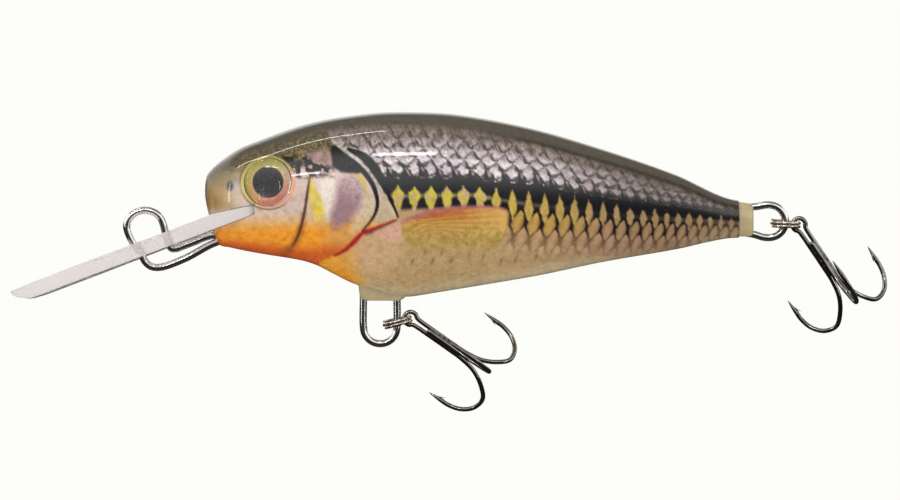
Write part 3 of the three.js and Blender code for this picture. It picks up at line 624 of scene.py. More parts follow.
def print_skin(name, side):
    """The foil over one half: x runs back from the nose in steps that grow at first, the angle a runs
    from the back to the belly, y = half breadth * sin(a)^0.9, z = widest line + rise * cos(a).
    Grid points close to the eye's hole or the lip's slot slide onto its edge, and the faces
    inside are left out."""
    near_nose = 4 * (np.arange(44) / 44) ** 2
    rest = np.linspace(4, FILM_END, 440)
    d = np.concatenate([near_nose, rest])[:, None]
    a = np.linspace(0, np.pi, 170)[None, :]
    mid = middle_at(d)
    rise = np.where(np.cos(a) > 0, top_at(d) - mid, mid - bottom_at(d))
    x = NOSE_X + d + 0 * a
    z = mid + (rise - FILM_SINK) * np.cos(a)
    y = HALF_WIDTH * half_share(d) * np.sin(a) ** SECTION_POWER
    cos_yaw, sin_yaw = np.cos(EYE_YAW), np.sin(EYE_YAW)
    hole = EYE_HOLE_R
    front = x < EYE_X + 6
    reach = 0.1
    for _ in range(3):
        h = (x - EYE_X) * cos_yaw + (y - EYE_DEPTH) * sin_yaw
        v = z - EYE_Z
        r = np.hypot(h, v)
        close = front & (np.abs(r - hole) < reach)
        x = np.where(close, x - (r - hole) * h / r / cos_yaw, x)
        z = np.where(close, z - (r - hole) * v / r, z)
        y = np.where(close, side_at(x, z), y)
    slot_d, place, _ = nearest(x, z, SLOT, closed=True)
    close = front & (slot_d < reach * 0.9) & (y > 0.3)
    x, z = np.where(close, place[..., 0], x), np.where(close, place[..., 1], z)
    x = np.maximum(x, NOSE_X + 0.0005)
    y = np.where(close, side_at(x, z), y)
    slot_d = nearest(x, z, SLOT, closed=True)[0]
    slot_d = np.where(inside_of(x, z, SLOT), -slot_d, slot_d)
    r = np.hypot((x - EYE_X) * cos_yaw + (y - EYE_DEPTH) * sin_yaw, z - EYE_Z) - hole
    signed = np.where(front, np.minimum(r, slot_d), 9.0)
    grid = np.stack([x, side * np.maximum(y, SEAM / 2), z], -1)
    rows, columns = x.shape
    number = np.arange(rows * columns).reshape(rows, columns)
    quads = np.stack([number[:-1, :-1], number[:-1, 1:], number[1:, 1:], number[1:, :-1]], -1).reshape(-1, 4)
    if side > 0:
        quads = quads[:, ::-1]
    s = signed.reshape(-1)
    corner = s[quads]
    plain = (corner > 0.3).all(1)
    rim = quads[~plain & (corner > -0.3).any(1)]
    swap = np.abs(s[rim[:, 1]]) + np.abs(s[rim[:, 3]]) < np.abs(s[rim[:, 0]]) + np.abs(s[rim[:, 2]])
    rim = np.where(swap[:, None], np.roll(rim, -1, 1), rim)
    halves = np.concatenate([rim[:, [0, 1, 2]], rim[:, [0, 2, 3]]])
    halves = halves[s[halves].mean(1) > 1e-4]
    quads = quads[plain]
    used = np.unique(np.concatenate([quads.ravel(), halves.ravel()]))
    renumber = np.zeros(rows * columns, int)
    renumber[used] = np.arange(len(used))
    points = grid.reshape(-1, 3)[used]
    piece = make_piece(name, points, renumber[quads], renumber[halves])
    keep_print(piece, print_colour(points[:, 0], points[:, 2]))
    rim_of = piece.modifiers.new("thickness", "SOLIDIFY")
    rim_of.thickness = 0.12 * MM
    rim_of.offset = -1
    rim_of.use_rim_only = True
    return piece


# ------------------------------------------------------------ bare body under the print
def body_core(name, side):
    """One moulded half: the body's outline drawn in by the film's thickness, flat at the seam, with
    the hanger's base and its two half posts as half-round columns under the belly."""
    inset = FILM + BOND_LINE
    d = BODY_LENGTH * np.linspace(0, 1, 240) ** 1.6
    a = np.linspace(0, np.pi, 72)
    mid = middle_at(d)[:, None]
    up, down = top_at(d)[:, None] - mid - inset, mid - bottom_at(d)[:, None] - inset
    rise = np.maximum(np.where(np.cos(a) > 0, up, down), 0.05)
    half = np.maximum(HALF_WIDTH * half_share(d)[:, None] - inset, 0.06)
    x = (NOSE_X + inset + d * (1 - inset / BODY_LENGTH))[:, None] + 0 * a
    x = x - 0.25 * np.clip((d[:, None] - BODY_LENGTH + 0.3) / 0.3, 0, 1) ** 2
    end = np.sqrt(np.clip((BODY_LENGTH - d) / 0.35, 0, 1))[:, None] * 0.12 + 0.88
    y = side * np.maximum(half * np.sin(a) ** SECTION_POWER * end, SEAM / 2)
    z = mid + rise * np.cos(a) * end
    parts = [loft(np.stack([x, y, z], -1))]

    t = np.linspace(0, 1, 30)
    bend = np.sqrt(np.clip(1 - ((t - 0.8) / 0.2).clip(0, 1) ** 2, 0.02, 1))
    front = HANGER_FRONT_X - 0.9 + 0.5 * t + 0.9 * (1 - bend)
    back = HANGER_REAR_X + 2.0 - 1.0 * t - 0.9 * (1 - bend)
    a = np.linspace(0, np.pi, 40)
    c, s = np.cos(a), np.sin(a)
    c, s = np.sign(c) * np.abs(c) ** 0.4, np.abs(s) ** 0.55
    x = (front + back)[:, None] / 2 + (back - front)[:, None] / 2 * c
    y = side * np.maximum(HANGER_BASE_HALF * (0.8 + 0.2 * bend)[:, None] * s, SEAM / 2)
    z = (HANGER_BASE_TOP + (HANGER_BASE_FOOT - HANGER_BASE_TOP) * t)[:, None] + 0 * a
    parts.append(loft(np.stack([x, y, z], -1)))

    for post_x, low in ((HANGER_FRONT_X + 0.1, -10.9), (HANGER_REAR_X, -10.5)):
        z = np.linspace(-7, low, 40)
        left = z - low
        taper = 0.86 + 0.14 * np.clip(left / 1.4, 0, 1)
        r = taper * np.sqrt(np.clip(1 - (1 - left / 0.3).clip(0, 1) ** 2 * 0.5, 0, 1))
        flare = 0.5 * np.exp(-((z + 9.55) / 0.25).clip(0, 9) ** 2) * np.exp(-((-9.55 - z) / 0.22).clip(0, 9))
        r = r + flare * (z < -9.3)
        x = post_x + r[:, None] * np.cos(a)
        y = side * np.maximum(r[:, None] * np.sin(a), SEAM / 2)
        parts.append(loft(np.stack([x, y, z[:, None] + 0 * a], -1)))
    core = make_piece(name, *together(parts), edge_angle=50)
    cut_away(core, slot_block(), eye_bore(side))
    return core


def slot_block():
    """The lip's slot as a solid: its side outline carried across the whole head."""
    outline = np.array([[LIP_TIP, float(lip_top(LIP_TIP)) + 0.1]] + SLOT[1:5]
                       + [[LIP_TIP, float(lip_top(LIP_TIP)) - LIP_DROP - 0.1]])
    y = np.array([-9.0, 9.0])[:, None]
    grid = np.stack([outline[None, :, 0] + 0 * y, y + 0 * outline[None, :, 0], outline[None, :, 1] + 0 * y],
                    -1)
    return make_piece("slot_cutter", *loft(grid), smooth=False)


def eye_place(h, out, v, side):
    """Turns eye coordinates (forwards to back, outwards, up) into the body's own."""
    c, s = np.cos(EYE_YAW), np.sin(EYE_YAW)
    return np.stack([EYE_X + h * c - out * s, side * (EYE_DEPTH + h * s + out * c), EYE_Z + v], -1)


def turned(profile, side, count=72):
    """A profile of [radius, outwards] turned round the eye's own axis."""
    profile = np.asarray(profile, float)
    a = np.arange(count) / count * tau
    r, out = profile[:, :1], profile[:, 1:]
    return loft(eye_place(r * np.cos(a), out + 0 * a, r * np.sin(a), side))


def eye_bore(side):
    """The cutter of the eye socket: a straight bore along the eye's own axis."""
    return make_piece("bore_cutter", *turned([[EYE_HOLE_R, -0.5], [EYE_HOLE_R, 3.5]], side), smooth=False)


def cut_away(piece, *cutters, solver="EXACT"):
    """Subtracts each cutter and leaves the cut mesh in the piece."""
    for cutter in cutters:
        cut = piece.modifiers.new("cut", "BOOLEAN")
        cut.operation, cut.solver, cut.object = "DIFFERENCE", solver, cutter
        bpy.context.view_layer.update()
        whole = piece.evaluated_get(bpy.context.evaluated_depsgraph_get())
        mesh = bpy.data.meshes.new_from_object(whole)
        piece.modifiers.remove(cut)
        piece.data = mesh
        bpy.data.objects.remove(cutter)
    piece.data.set_sharp_from_angle(angle=np.radians(40))


# ------------------------------------------------------------ the bent wire
def arc(cx, cz, rx, rz, start, end, count):
    """Points along an upright ellipse about cx, cz, between two angles in degrees."""
    a = np.radians(np.linspace(start, end, count + 1))
    return [[cx + rx * c, 0, cz + rz * s] for c, s in zip(np.cos(a), np.sin(a))]


def wire_line():
    """Centre line of the harness: lip strand, line tie, throat strand, belly hanger, tail loop."""
    upper = lambda x: float(lip_top(x)) - LIP_DROP - 0.1 - WIRE / 2
    lower = lambda x: upper(x) - 0.1 - WIRE
    flat = [[12.6, -0.75], [10.4, -1.1], [8.4, upper(8.4)], [6.4, upper(6.4)], [4.9, upper(4.9)],
            [4.0, upper(4.0) + 0.05], [3.45, upper(3.45) + 0.35], [2.7, -0.75]]
    nose = [[-1.5, -2.05], [-0.45, -3.5], [0.15, -4.6], [0.9, -5.2], [2.1, -5.3], [5.3, -4.15],
            [8.6, lower(8.6) - 0.1], [10.6, lower(10.6)], [13.2, -0.3 - WIRE], [17, 1.2], [22, 1.5],
            [26.2, 0.2], [HANGER_FRONT_X - 0.3, -2.4], [HANGER_FRONT_X, -5.5], [HANGER_FRONT_X, -9]]
    middle = (HANGER_FRONT_X + HANGER_REAR_X) / 2
    r = (HANGER_REAR_X - HANGER_FRONT_X) / 2
    back = [[HANGER_REAR_X, -9], [HANGER_REAR_X, -5.5], [HANGER_REAR_X + 0.4, -2.4],
            [HANGER_REAR_X + 2.6, 0.2], [HANGER_REAR_X + 7.6, 2.2], [(HANGER_REAR_X + TAIL_X) / 2, 2.9],
            [TAIL_X - 8.3, 2.75], [TAIL_X - 2.3, 2.35], [TAIL_X + 0.3, 2.5],
            [TAIL_X + 1.3, TAIL_LOOP_Z + TAIL_LOOP_HALF - 0.02]]
    end = [[TAIL_X + 1.1, TAIL_LOOP_Z - TAIL_LOOP_HALF + 0.05], [TAIL_X - 0.1, -1.1], [TAIL_X - 2.3, -0.75],
           [TAIL_X - 6.8, -0.4]]
    lifted = lambda points: [[x, 0, z] for x, z in points]
    return (lifted(flat) + arc(0.1, -0.05, 2.35, 2.05, 12, 200, 9) + lifted(nose)
            + arc(middle, HANGER_LOW + r, r, r, 180, 360, 8) + lifted(back)
            + arc(TAIL_LOOP_X - 2.1, TAIL_LOOP_Z, 2.1, TAIL_LOOP_HALF, 85, -85, 8) + lifted(end))


# ------------------------------------------------------------ clear lip
def lip_half_width(x):
    """Half breadth of the lip's plan: narrow tongue, easing out to the blade, elliptic front."""
    x = np.asarray(x, float)
    t = np.clip((6 - x) / 13, 0, 1)
    ease = t * t * (3 - 2 * t)
    wide = (TONGUE_HALF - 0.5) + (LIP_HALF - TONGUE_HALF + 0.5) * ease
    tongue = np.clip((x - 6) / (LIP_INNER - 1.4 - 6), 0, 1) * 0.5
    wide = np.where(x > 6, TONGUE_HALF - 0.5 + tongue, wide)
    corner = np.clip((x - (LIP_INNER - 1.4)) / 1.4, 0, 1)
    wide = wide - 1.2 * (1 - np.sqrt(np.clip(1 - corner**2, 0, 1)))
    nose = np.clip((-7 - x) / (-7 - LIP_TIP), 0, 1)
    return wide * np.clip(1 - nose**2.25, 0, 1) ** (1 / 2.15)


def lip_plate(name):
    """Sections across the lip carried from its tip to its tongue: each is a rounded bar as wide as
    the plan there; its upper and lower faces follow the slope and thin towards the tip."""
    share = np.linspace(0, 1, 220)
    x = LIP_TIP + 0.012 + (LIP_INNER - 0.02 - LIP_TIP) * (0.5 - 0.5 * np.cos(np.pi * share)) ** 1.15
    wide = np.maximum(lip_half_width(x), 0.02)
    upper = np.interp(x, [LIP_TIP, 9, LIP_INNER], [float(lip_top(LIP_TIP)) + 0.05, 1.5,
                                                   float(lip_top(LIP_INNER)) - 0.25])
    lower = np.interp(x, [LIP_TIP, LIP_TIP + 0.5, LIP_TIP + 1.1, LIP_TIP + 2.6, LIP_TIP + 4.2, 9,
                          LIP_INNER], [lip_top(LIP_TIP) - 0.12, lip_top(LIP_TIP + 0.5) - 0.6,
                                       lip_top(LIP_TIP + 1.1) - 1.05,
                                       lip_top(LIP_TIP + 2.6) - LIP_DROP + 0.12,
                                       lip_top(LIP_TIP + 4.2) - LIP_DROP, 1.5 - LIP_DROP,
                                       lip_top(LIP_INNER) - 1.45])
    middle, half = (upper + lower) / 2, (upper - lower) / 2
    tip = np.sqrt(np.clip(1 - (1 - (x - LIP_TIP) / 0.5).clip(0, 1) ** 2, 0, 1))
    inner = np.sqrt(np.clip(1 - (1 - (LIP_INNER - x) / 0.3).clip(0, 1) ** 2, 0.04, 1))
    half = half * tip * inner
    corner = np.minimum(0.24, half * 0.92)
    corner = np.minimum(corner, wide * 0.9)[:, None]
    a = np.linspace(0, np.pi / 2, 9)
    flat = np.linspace(0, 1, 26)[1:-1]
    w, h = wide[:, None], half[:, None]
    y = np.concatenate([w - corner + corner * np.cos(a), (w - corner) * (1 - 2 * flat),
                        -(w - corner) - corner * np.sin(a)], 1)
    z = np.concatenate([h - corner + corner * np.sin(a), h + 0 * flat, h - corner + corner * np.cos(a)], 1)
    y = np.concatenate([y, y[:, ::-1]], 1)
    z = np.concatenate([z, -z[:, ::-1]], 1)
    grid = np.stack([x[:, None] + 0 * y, y, middle[:, None] + z], -1)
    plate = make_piece(name, *loft(grid), edge_angle=60)
    path = spline(wire_line()[3:24], 6)
    cut_away(plate, make_piece("wire_cutter", *sweep(path, WIRE / 2 + WIRE_GAP, 24)), solver="MANIFOLD")
    return plate


# ------------------------------------------------------------ rings and hooks
def split_ring(name, x, z, tilt):
    """A flattened wire carried along a coil of almost two turns; its ends are ground thinner."""
    turn = np.linspace(0, 1, 240)
    a = np.radians(200) + tau * RING_TURNS * turn
    rise = RING_TURNS * (RING_WIRE + COIL_GAP)
    path = np.stack([RING_R * np.cos(a), RING_R * np.sin(a), (turn - 0.5) * rise], -1)
    ends = 0.72 + 0.28 * np.clip(np.minimum(turn, 1 - turn) / 0.03, 0, 1)
    points, quads, fans = sweep(path, RING_WIRE / 2 * ends, 16, square=0.7, first=[0, 0, 1])
    c, s = np.cos(tilt), np.sin(tilt)
    points = np.stack([x + points[:, 0] * c - points[:, 2] * s, points[:, 1],
                       z + points[:, 0] * s + points[:, 2] * c], -1)
    return make_piece(name, points, quads, fans)


COILS_HALF = RING_WIRE + COIL_GAP / 2
HOOK_EYE = np.hypot(COILS_HALF, RING_WIRE / 2) + HOOK_WIRE / 2 + 0.05
EYE_OUT = WIRE / 2 + 0.12 + HOOK_EYE + HOOK_WIRE / 2
HOOK_LEG = (HOOK_WIRE + 0.22) / 2
THIRD_Y = np.sqrt((HOOK_WIRE + 0.18) ** 2 - HOOK_LEG**2)
HOOK_LINE = [[0, -10.5], [0, -7.5], [0.01, -5.1], [0.07, -3.1], [0.23, -1.3], [0.46, 0], [0.73, -0.3],
             [0.92, -1.6], [0.995, -3.2], [1, -4.2]]


def hook_line(azimuth, leg_x, leg_y, lift):
    """Centre line of one hook: down the shank, round the bend and up to the point, in the upright
    plane that faces that azimuth. Its reach outwards is a share of HOOK_REACH."""
    a = np.radians(azimuth)
    share, rise = np.array(HOOK_LINE).T
    out = share * HOOK_REACH
    return np.stack([leg_x + out * (1 - abs(leg_x) / HOOK_REACH) * np.cos(a), leg_y + out * np.sin(a),
                     -(HOOK_LENGTH + rise - lift)], -1)


def hook_point(line, azimuth):
    """The ground point as a wire that thins to nothing, and its barb as a small leaf that stands off
    the inner side of the wire."""
    run = line[-1] - line[-2]
    run /= np.linalg.norm(run)
    t = np.linspace(-0.25, 1, 26)
    path = line[-1] + run * (1.95 * t)[:, None]
    r = (HOOK_WIRE - HOOK_SLIM) / 2 * np.clip(1 - t.clip(0, 1), 0.02, 1) ** 0.62 * 0.998
    inward = -np.array([np.cos(np.radians(azimuth)), np.sin(np.radians(azimuth)), 0])
    s = np.linspace(0, 1, 14)
    barb = line[-1] + inward * (0.12 + 0.46 * s)[:, None] + run * (0.75 - 0.95 * s)[:, None]
    return sweep(path, r, 20), sweep(barb, 0.2 * (1 - s) ** 0.7 + 0.012, 12, flat=0.55)


def treble(prefix, x, z, dip):
    """Two hooks folded from one wire round the eye, a third laid beside their shank, and the solder
    that joins them: a tube round all three whose radius swells and dips in soft waves."""
    first, second = hook_line(30 + HOOK_ROLL, HOOK_LEG, 0, 0), hook_line(150 + HOOK_ROLL, -HOOK_LEG, 0, 0)
    a = np.radians(np.linspace(-52, 232, 9))
    eye = np.stack([HOOK_EYE * np.cos(a), 0 * a, HOOK_EYE * np.sin(a)], -1)
    folded = np.vstack([first[::-1], [[HOOK_LEG, 0, -1.6]], eye, [[-HOOK_LEG, 0, -1.6]], second])
    double = together([sweep(spline(folded, 10), (HOOK_WIRE - HOOK_SLIM) / 2, 20, first=[0.8, -0.6, 0]),
                       *hook_point(first, 30 + HOOK_ROLL), *hook_point(second, 150 + HOOK_ROLL)])
    third = hook_line(270 + HOOK_ROLL, 0, -THIRD_Y, 1.5)
    lone = np.vstack([[[0, -THIRD_Y, -2.6]], third[1:]])
    path = spline(lone, 10)
    far = np.linspace(0, 1, len(path))
    single = together([sweep(path, (HOOK_WIRE - HOOK_SLIM) / 2 * np.clip(0.55 + far * 30, 0, 1), 20,
                             first=[1, 0, 0]), *hook_point(third, 270 + HOOK_ROLL)])
    t = np.linspace(0, 1, 90)[:, None]
    b = (np.arange(36) / 36 * tau)[None, :]
    fade = np.sin(np.pi * t) ** 0.35
    wave = 1 + 0.1 * np.sin(19 * t + 2 * b) * np.sin(7 * t - b) + 0.06 * np.sin(41 * t + 3 * b)
    r = 0.6 * fade * wave
    solder = np.stack([r * 1.05 * np.cos(b), r * np.sin(b) - THIRD_Y * 0.42, -3.4 - 4.4 * t + 0 * b], -1)
    turn = np.radians(-(90 - dip))
    c, s = np.cos(turn), np.sin(turn)

    def placed(made):
        """The finished shape turned to its dip and moved to where it hangs."""
        p = made[0]
        return (np.stack([x + p[:, 0] * c + p[:, 2] * s, p[:, 1], z - p[:, 0] * s + p[:, 2] * c], -1),
                *made[1:])
    return (make_piece(prefix + "_folded_hook", *placed(double)),
            make_piece(prefix + "_third_hook", *placed(single)),
            make_piece(prefix + "_solder", *placed(loft(solder))))


# ------------------------------------------------------------ eyes
def iris_colour(h, v):
    """Printed iris: black pupil, a ring that turns from yellow-green above through yellow and rose below to
    cream, fine spokes, and a thin dark outer edge that is painted shade of the socket's rim, heavier at the
    lower front."""
    r, a = np.hypot(h, v), np.arctan2(v, h)
    turn = (a / tau) % 1
    stops = [0, 0.08, 0.17, 0.27, 0.38, 0.5, 0.6, 0.72, 0.86, 1]
    tints = np.array([[234, 186, 156], [236, 206, 166], [212, 202, 104], [186, 182, 66], [196, 188, 76],
                      [222, 194, 96], [226, 176, 104], [224, 140, 108], [228, 132, 110],
                      [234, 186, 156]]) / 255
    colour = np.stack([np.interp(turn, stops, tints[:, k]) for k in range(3)], -1)
    spoke = 0.5 + 0.5 * np.sin(a * 64 + 3 * np.sin(r * 5))
    colour = lay(colour, 0.16 * spoke * step(r, 1.6, 1.2), rgb(140, 96, 60))
    colour = lay(colour, 0.35 * step(-r, -2.2, 0.8), rgb(246, 214, 170))
    colour = lay(colour, step(-r, -1.93, 0.2), rgb(28, 26, 32))
    # dark outer edge: painted shade of the socket's rim, heavier at the lower front
    colour = lay(colour, step(r, 2.9, 0.18) * (0.35 + 0.5 * step(-h - v, 0.5, 3)), rgb(66, 52, 40))
    return colour


def eye(label, side):
    """The printed disc, turned from a flat face with a rounded rim, and the clear bead over it, whose
    crown rises as sin(q)^0.8 from the rim to the middle."""
    r = np.concatenate([np.linspace(0.01, EYE_R - 0.03, 60), [EYE_R, EYE_R, EYE_R - 0.03, 0.01]])
    out = np.concatenate([np.full(60, -0.03), [-0.06, -0.36, -0.39, -0.39]])
    disc = make_piece(label + "_iris", *turned(np.stack([r, out], -1), side, 160), edge_angle=50)
    co = np.zeros(len(disc.data.vertices) * 3)
    disc.data.vertices.foreach_get("co", co)
    co = co.reshape(-1, 3) / MM
    h = (co[:, 0] - EYE_X) * np.cos(EYE_YAW) + (np.abs(co[:, 1]) - EYE_DEPTH) * np.sin(EYE_YAW)
    keep_print(disc, iris_colour(h, co[:, 2] - EYE_Z))
    t = np.linspace(0, 1, 40)
    rim, rise = 0.34, 1.0
    profile = [[0.01, 0.05], [EYE_R - 0.06, 0.05], [EYE_R, 0.1], [EYE_R, rim]]
    profile += [[EYE_R * np.cos(q), rim + (rise - rim) * np.sin(q) ** 0.8] for q in t[1:-1] * np.pi / 2]
    profile += [[0.01, rise]]
    bead = make_piece(label + "_bead", *turned(profile, side, 96), edge_angle=60)
    return disc, bead


# ------------------------------------------------------------ finishes
class Finish:
    """A node material: one glossy surface whose inputs are fed by textures in the object's own space."""

    def __init__(self, name, **plain):
        """Plain values are given by the surface's input names, with underscores for the spaces."""
        self.material = bpy.data.materials.new(name)
        self.material.use_nodes = True
        self.tree = self.material.node_tree
        self.tree.nodes.clear()
        self.surface = self.tree.nodes.new("ShaderNodeBsdfPrincipled")
        output = self.tree.nodes.new("ShaderNodeOutputMaterial")
        self.tree.links.new(self.surface.outputs[0], output.inputs["Surface"])
        self.place = self.tree.nodes.new("ShaderNodeTexCoord").outputs["Object"]
        for key, value in plain.items():
            self.feed(self.surface, key.replace("_", " "), value)

    def feed(self, node, key, value):
        """Sets an input to a number or a colour, or links another node's output to it."""
        socket = node.inputs[key]
        if isinstance(value, bpy.types.NodeSocket):
            self.tree.links.new(value, socket)
        elif isinstance(value, tuple) and len(value) == 3 and socket.type == "RGBA":
            socket.default_value = (*value, 1)
        else:
            socket.default_value = value

    def node(self, kind, inputs, **settings):
        """A new node with its settings made and its inputs fed."""
        made = self.tree.nodes.new(kind)
        for key, value in settings.items():
            setattr(made, key, value)
        for key, value in inputs.items():
            self.feed(made, key, value)
        return made

    def noise(self, scale, detail=3.0, rough=0.5):
        """Cloudy noise of about 0 to 1 with that many features to the metre."""
        return self.node("ShaderNodeTexNoise", {"Vector": self.place, "Scale": scale, "Detail": detail,
                                                "Roughness": rough}).outputs[0]

    def cells(self, scale):
        """A cell pattern with that many cells to the metre."""
        return self.node("ShaderNodeTexVoronoi", {"Vector": self.place, "Scale": scale})

    def span(self, value, low, high, to_low, to_high):
        """A value stretched from one range onto another and held at its ends."""
        return self.node("ShaderNodeMapRange", {"Value": value, "From Min": low, "From Max": high,
                                                "To Min": to_low, "To Max": to_high}).outputs[0]

    def blend(self, share, one, two):
        """A colour between two: the share of the second one."""
        made = self.tree.nodes.new("ShaderNodeMix")
        made.data_type = "RGBA"
        self.feed(made, "Factor", share)
        for k, value in ((6, one), (7, two)):
            if isinstance(value, bpy.types.NodeSocket):
                self.tree.links.new(value, made.inputs[k])
            else:
                made.inputs[k].default_value = (*value, 1)
        return made.outputs[2]

    def scaled(self, colour, amount):
        """Every channel of the colour times the amount."""
        made = self.node("ShaderNodeVectorMath", {0: colour, "Scale": amount}, operation="SCALE")
        return made.outputs[0]

    def two_tone(self, scale, detail, low, high, dark, light):
        """Base colour clouded between two tones by a noise of that scale."""
        share = self.span(self.noise(scale, detail), low, high, 0, 1)
        self.feed(self.surface, "Base Color", self.blend(share, dark, light))

    def uneven(self, scale, detail, low, high, smooth, rough):
        """Roughness that wanders between two values."""
        self.feed(self.surface, "Roughness", self.span(self.noise(scale, detail), low, high, smooth, rough))

    def painted(self):
        """The colour that was painted onto the piece's vertices."""
        return self.node("ShaderNodeAttribute", {}, attribute_name="print_colour").outputs["Color"]

    def bumps(self, height, strength, depth):
        """Small relief on the surface, its depth in millimetres."""
        made = self.node("ShaderNodeBump", {"Height": height, "Strength": strength, "Distance": depth * MM})
        self.tree.links.new(made.outputs[0], self.surface.inputs["Normal"])


def finish_print():
    """Painted colour with foil glitter under a clear gloss coat."""
    f = Finish("gloss_foil_print", Roughness=0.35, Specular_IOR_Level=0.1, Coat_Weight=0.9,
               Coat_Roughness=0.06, Coat_IOR=1.5)
    glitter = f.cells(5200).outputs["Color"]
    spark = f.span(glitter, 0, 1, 0.9, 1.1)
    cloud = f.span(f.noise(900, 4), 0.3, 0.7, 0.93, 1.07)
    both = f.node("ShaderNodeMath", {0: spark, 1: cloud}, operation="MULTIPLY").outputs[0]
    f.feed(f.surface, "Base Color", f.scaled(f.painted(), both))
    f.feed(f.surface, "Metallic", f.span(f.noise(1500, 2), 0.45, 0.75, 0.0, 0.25))
    f.bumps(f.noise(2400, 2), 0.25, 0.02)
    return f.material


def finish_foam():
    """Cream moulding, faintly clouded, under a thin gloss."""
    f = Finish("cream_moulded_foam", Roughness=0.4, Subsurface_Weight=0.15, Subsurface_Scale=0.0015,
               Coat_Weight=0.5, Coat_Roughness=0.08)
    f.two_tone(420, 4, 0.35, 0.7, (0.37, 0.30, 0.16), (0.47, 0.385, 0.21))
    f.uneven(1600, 2, 0.3, 0.7, 0.28, 0.5)
    f.bumps(f.noise(2600, 3), 0.3, 0.03)
    return f.material


def finish_lip():
    """Milky clear plastic with a slightly uneven shine."""
    f = Finish("milky_clear_lip", Roughness=0.08, IOR=1.12, Transmission_Weight=0.62)
    f.two_tone(60, 2, 0.3, 0.7, (0.76, 0.715, 0.70), (0.86, 0.815, 0.805))
    f.uneven(500, 3, 0.4, 0.8, 0.06, 0.2)
    f.bumps(f.noise(110, 2), 0.15, 0.05)
    return f.material


def finish_bead():
    """Clear bead, almost perfectly smooth."""
    f = Finish("clear_eye_bead", Roughness=0.01, IOR=1.4, Transmission_Weight=1.0)
    f.feed(f.surface, "Base Color", f.blend(f.noise(400, 2), (0.97, 0.97, 0.96), (1.0, 1.0, 1.0)))
    f.bumps(f.noise(300, 2), 0.05, 0.02)
    return f.material


def finish_iris():
    """Painted iris with fine metallic glitter."""
    f = Finish("printed_iris", Roughness=0.3, Metallic=0.15)
    spark = f.span(f.cells(6000).outputs["Color"], 0, 1, 0.86, 1.12)
    f.feed(f.surface, "Base Color", f.scaled(f.painted(), spark))
    f.uneven(2500, 2, 0.3, 0.7, 0.22, 0.4)
    return f.material


def finish_metal(name, dark, light, smooth, rough, grain_scale, depth=0.004):
    """Bare metal whose tone, shine and surface wander at a grain of that scale."""
    f = Finish(name, Metallic=1.0)
    f.two_tone(grain_scale, 4, 0.3, 0.7, dark, light)
    f.uneven(grain_scale * 2.3, 3, 0.3, 0.7, smooth, rough)
    f.bumps(f.noise(grain_scale * 3, 2), 0.3, depth)
    return f.material


# ------------------------------------------------------------ the pieces
print_look, foam_look, lip_look = finish_print(), finish_foam(), finish_lip()
iris_look, bead_look = finish_iris(), finish_bead()
steel_look = finish_metal("bright_steel_wire", (0.66, 0.645, 0.615), (0.8, 0.785, 0.755), 0.05, 0.13,
                          700, 0.001)
nickel_look = finish_metal("warm_nickel_ring", (0.5, 0.41, 0.345), (0.66, 0.57, 0.5), 0.1, 0.22, 900)
black_look = finish_metal("black_nickel_hook", (0.17, 0.155, 0.14), (0.34, 0.32, 0.295), 0.05, 0.12,
                          800, 0.002)
solder_look = finish_metal("grey_solder", (0.10, 0.09, 0.085), (0.22, 0.20, 0.19), 0.25, 0.5, 1400, 0.03)
lead_look = finish_metal("dull_lead", (0.16, 0.16, 0.16), (0.27, 0.27, 0.27), 0.45, 0.7, 500, 0.03)


def dress(piece, look, body, node):
    """Gives a piece its finish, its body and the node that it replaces."""
    piece.data.materials.clear()
    piece.data.materials.append(look)
    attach(piece, body)
    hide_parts(node)
    return piece


for label, side in (("left", -1), ("right", 1)):
    dress(print_skin(label + "_printed_foil", side), print_look, "lure", label + "_print_film")
    dress(body_core(label + "_moulded_half", side), foam_look, "lure", label + "_body_half")
    disc, bead = eye(label, side)
    dress(disc, iris_look, "lure", label + "_eye_disc")
    dress(bead, bead_look, "lure", label + "_eye_dome")

dress(lip_plate("clear_lip_plate"), lip_look, "lure", "diving_lip")
harness_path = spline(wire_line(), 10)
dress(make_piece("bent_through_wire", *sweep(harness_path, WIRE / 2, 28)), steel_look, "lure",
      "wire_harness")

for label, ring_x, ring_z, tilt, dip in (("belly", HANGER_REAR_X, BELLY_RING_Z, BELLY_TILT, BELLY_DIP),
                                         ("tail", TAIL_LOOP_X, TAIL_RING_Z, TAIL_TILT, TAIL_DIP)):
    eye_x, eye_z = ring_x + EYE_OUT, ring_z + RING_R * np.sin(tilt)
    ring = split_ring(label + "_coiled_ring", eye_x - RING_R * np.cos(tilt), ring_z, tilt)
    dress(ring, nickel_look, label + "_ring", label + "_split_ring")
    folded, lone, solder = treble(label, eye_x, eye_z, dip)
    dress(folded, black_look, label + "_treble", label + "_double_hook")
    dress(lone, black_look, label + "_treble", label + "_single_hook")
    dress(solder, solder_look, label + "_treble", label + "_braze")

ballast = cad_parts["ballast_weight"]
ballast.data.materials.clear()
ballast.data.materials.append(lead_look)

# ------------------------------------------------------------ floor, light and camera
CENTRE = np.array([39.2, 0, -3.1])
CAMERA_AWAY = 650
FLOOR_LOW = -75.0


def studio_floor():
    """A pale card well below the lure, which polished metal does not mirror."""
    half, low = 420.0, FLOOR_LOW
    corner = np.array([[-half, -half, low], [half, -half, low], [half, half, low],
                       [-half, half, low]]) + [CENTRE[0], 0, 0]
    floor = make_piece("studio_floor", corner, np.array([[0, 1, 2, 3]]))
    floor.visible_glossy = False
    f = Finish("pale_card", Roughness=0.9)
    f.feed(f.surface, "Base Color", f.blend(f.noise(40, 2), (0.80, 0.80, 0.79), (0.84, 0.84, 0.83)))
    floor.data.materials.append(f.material)


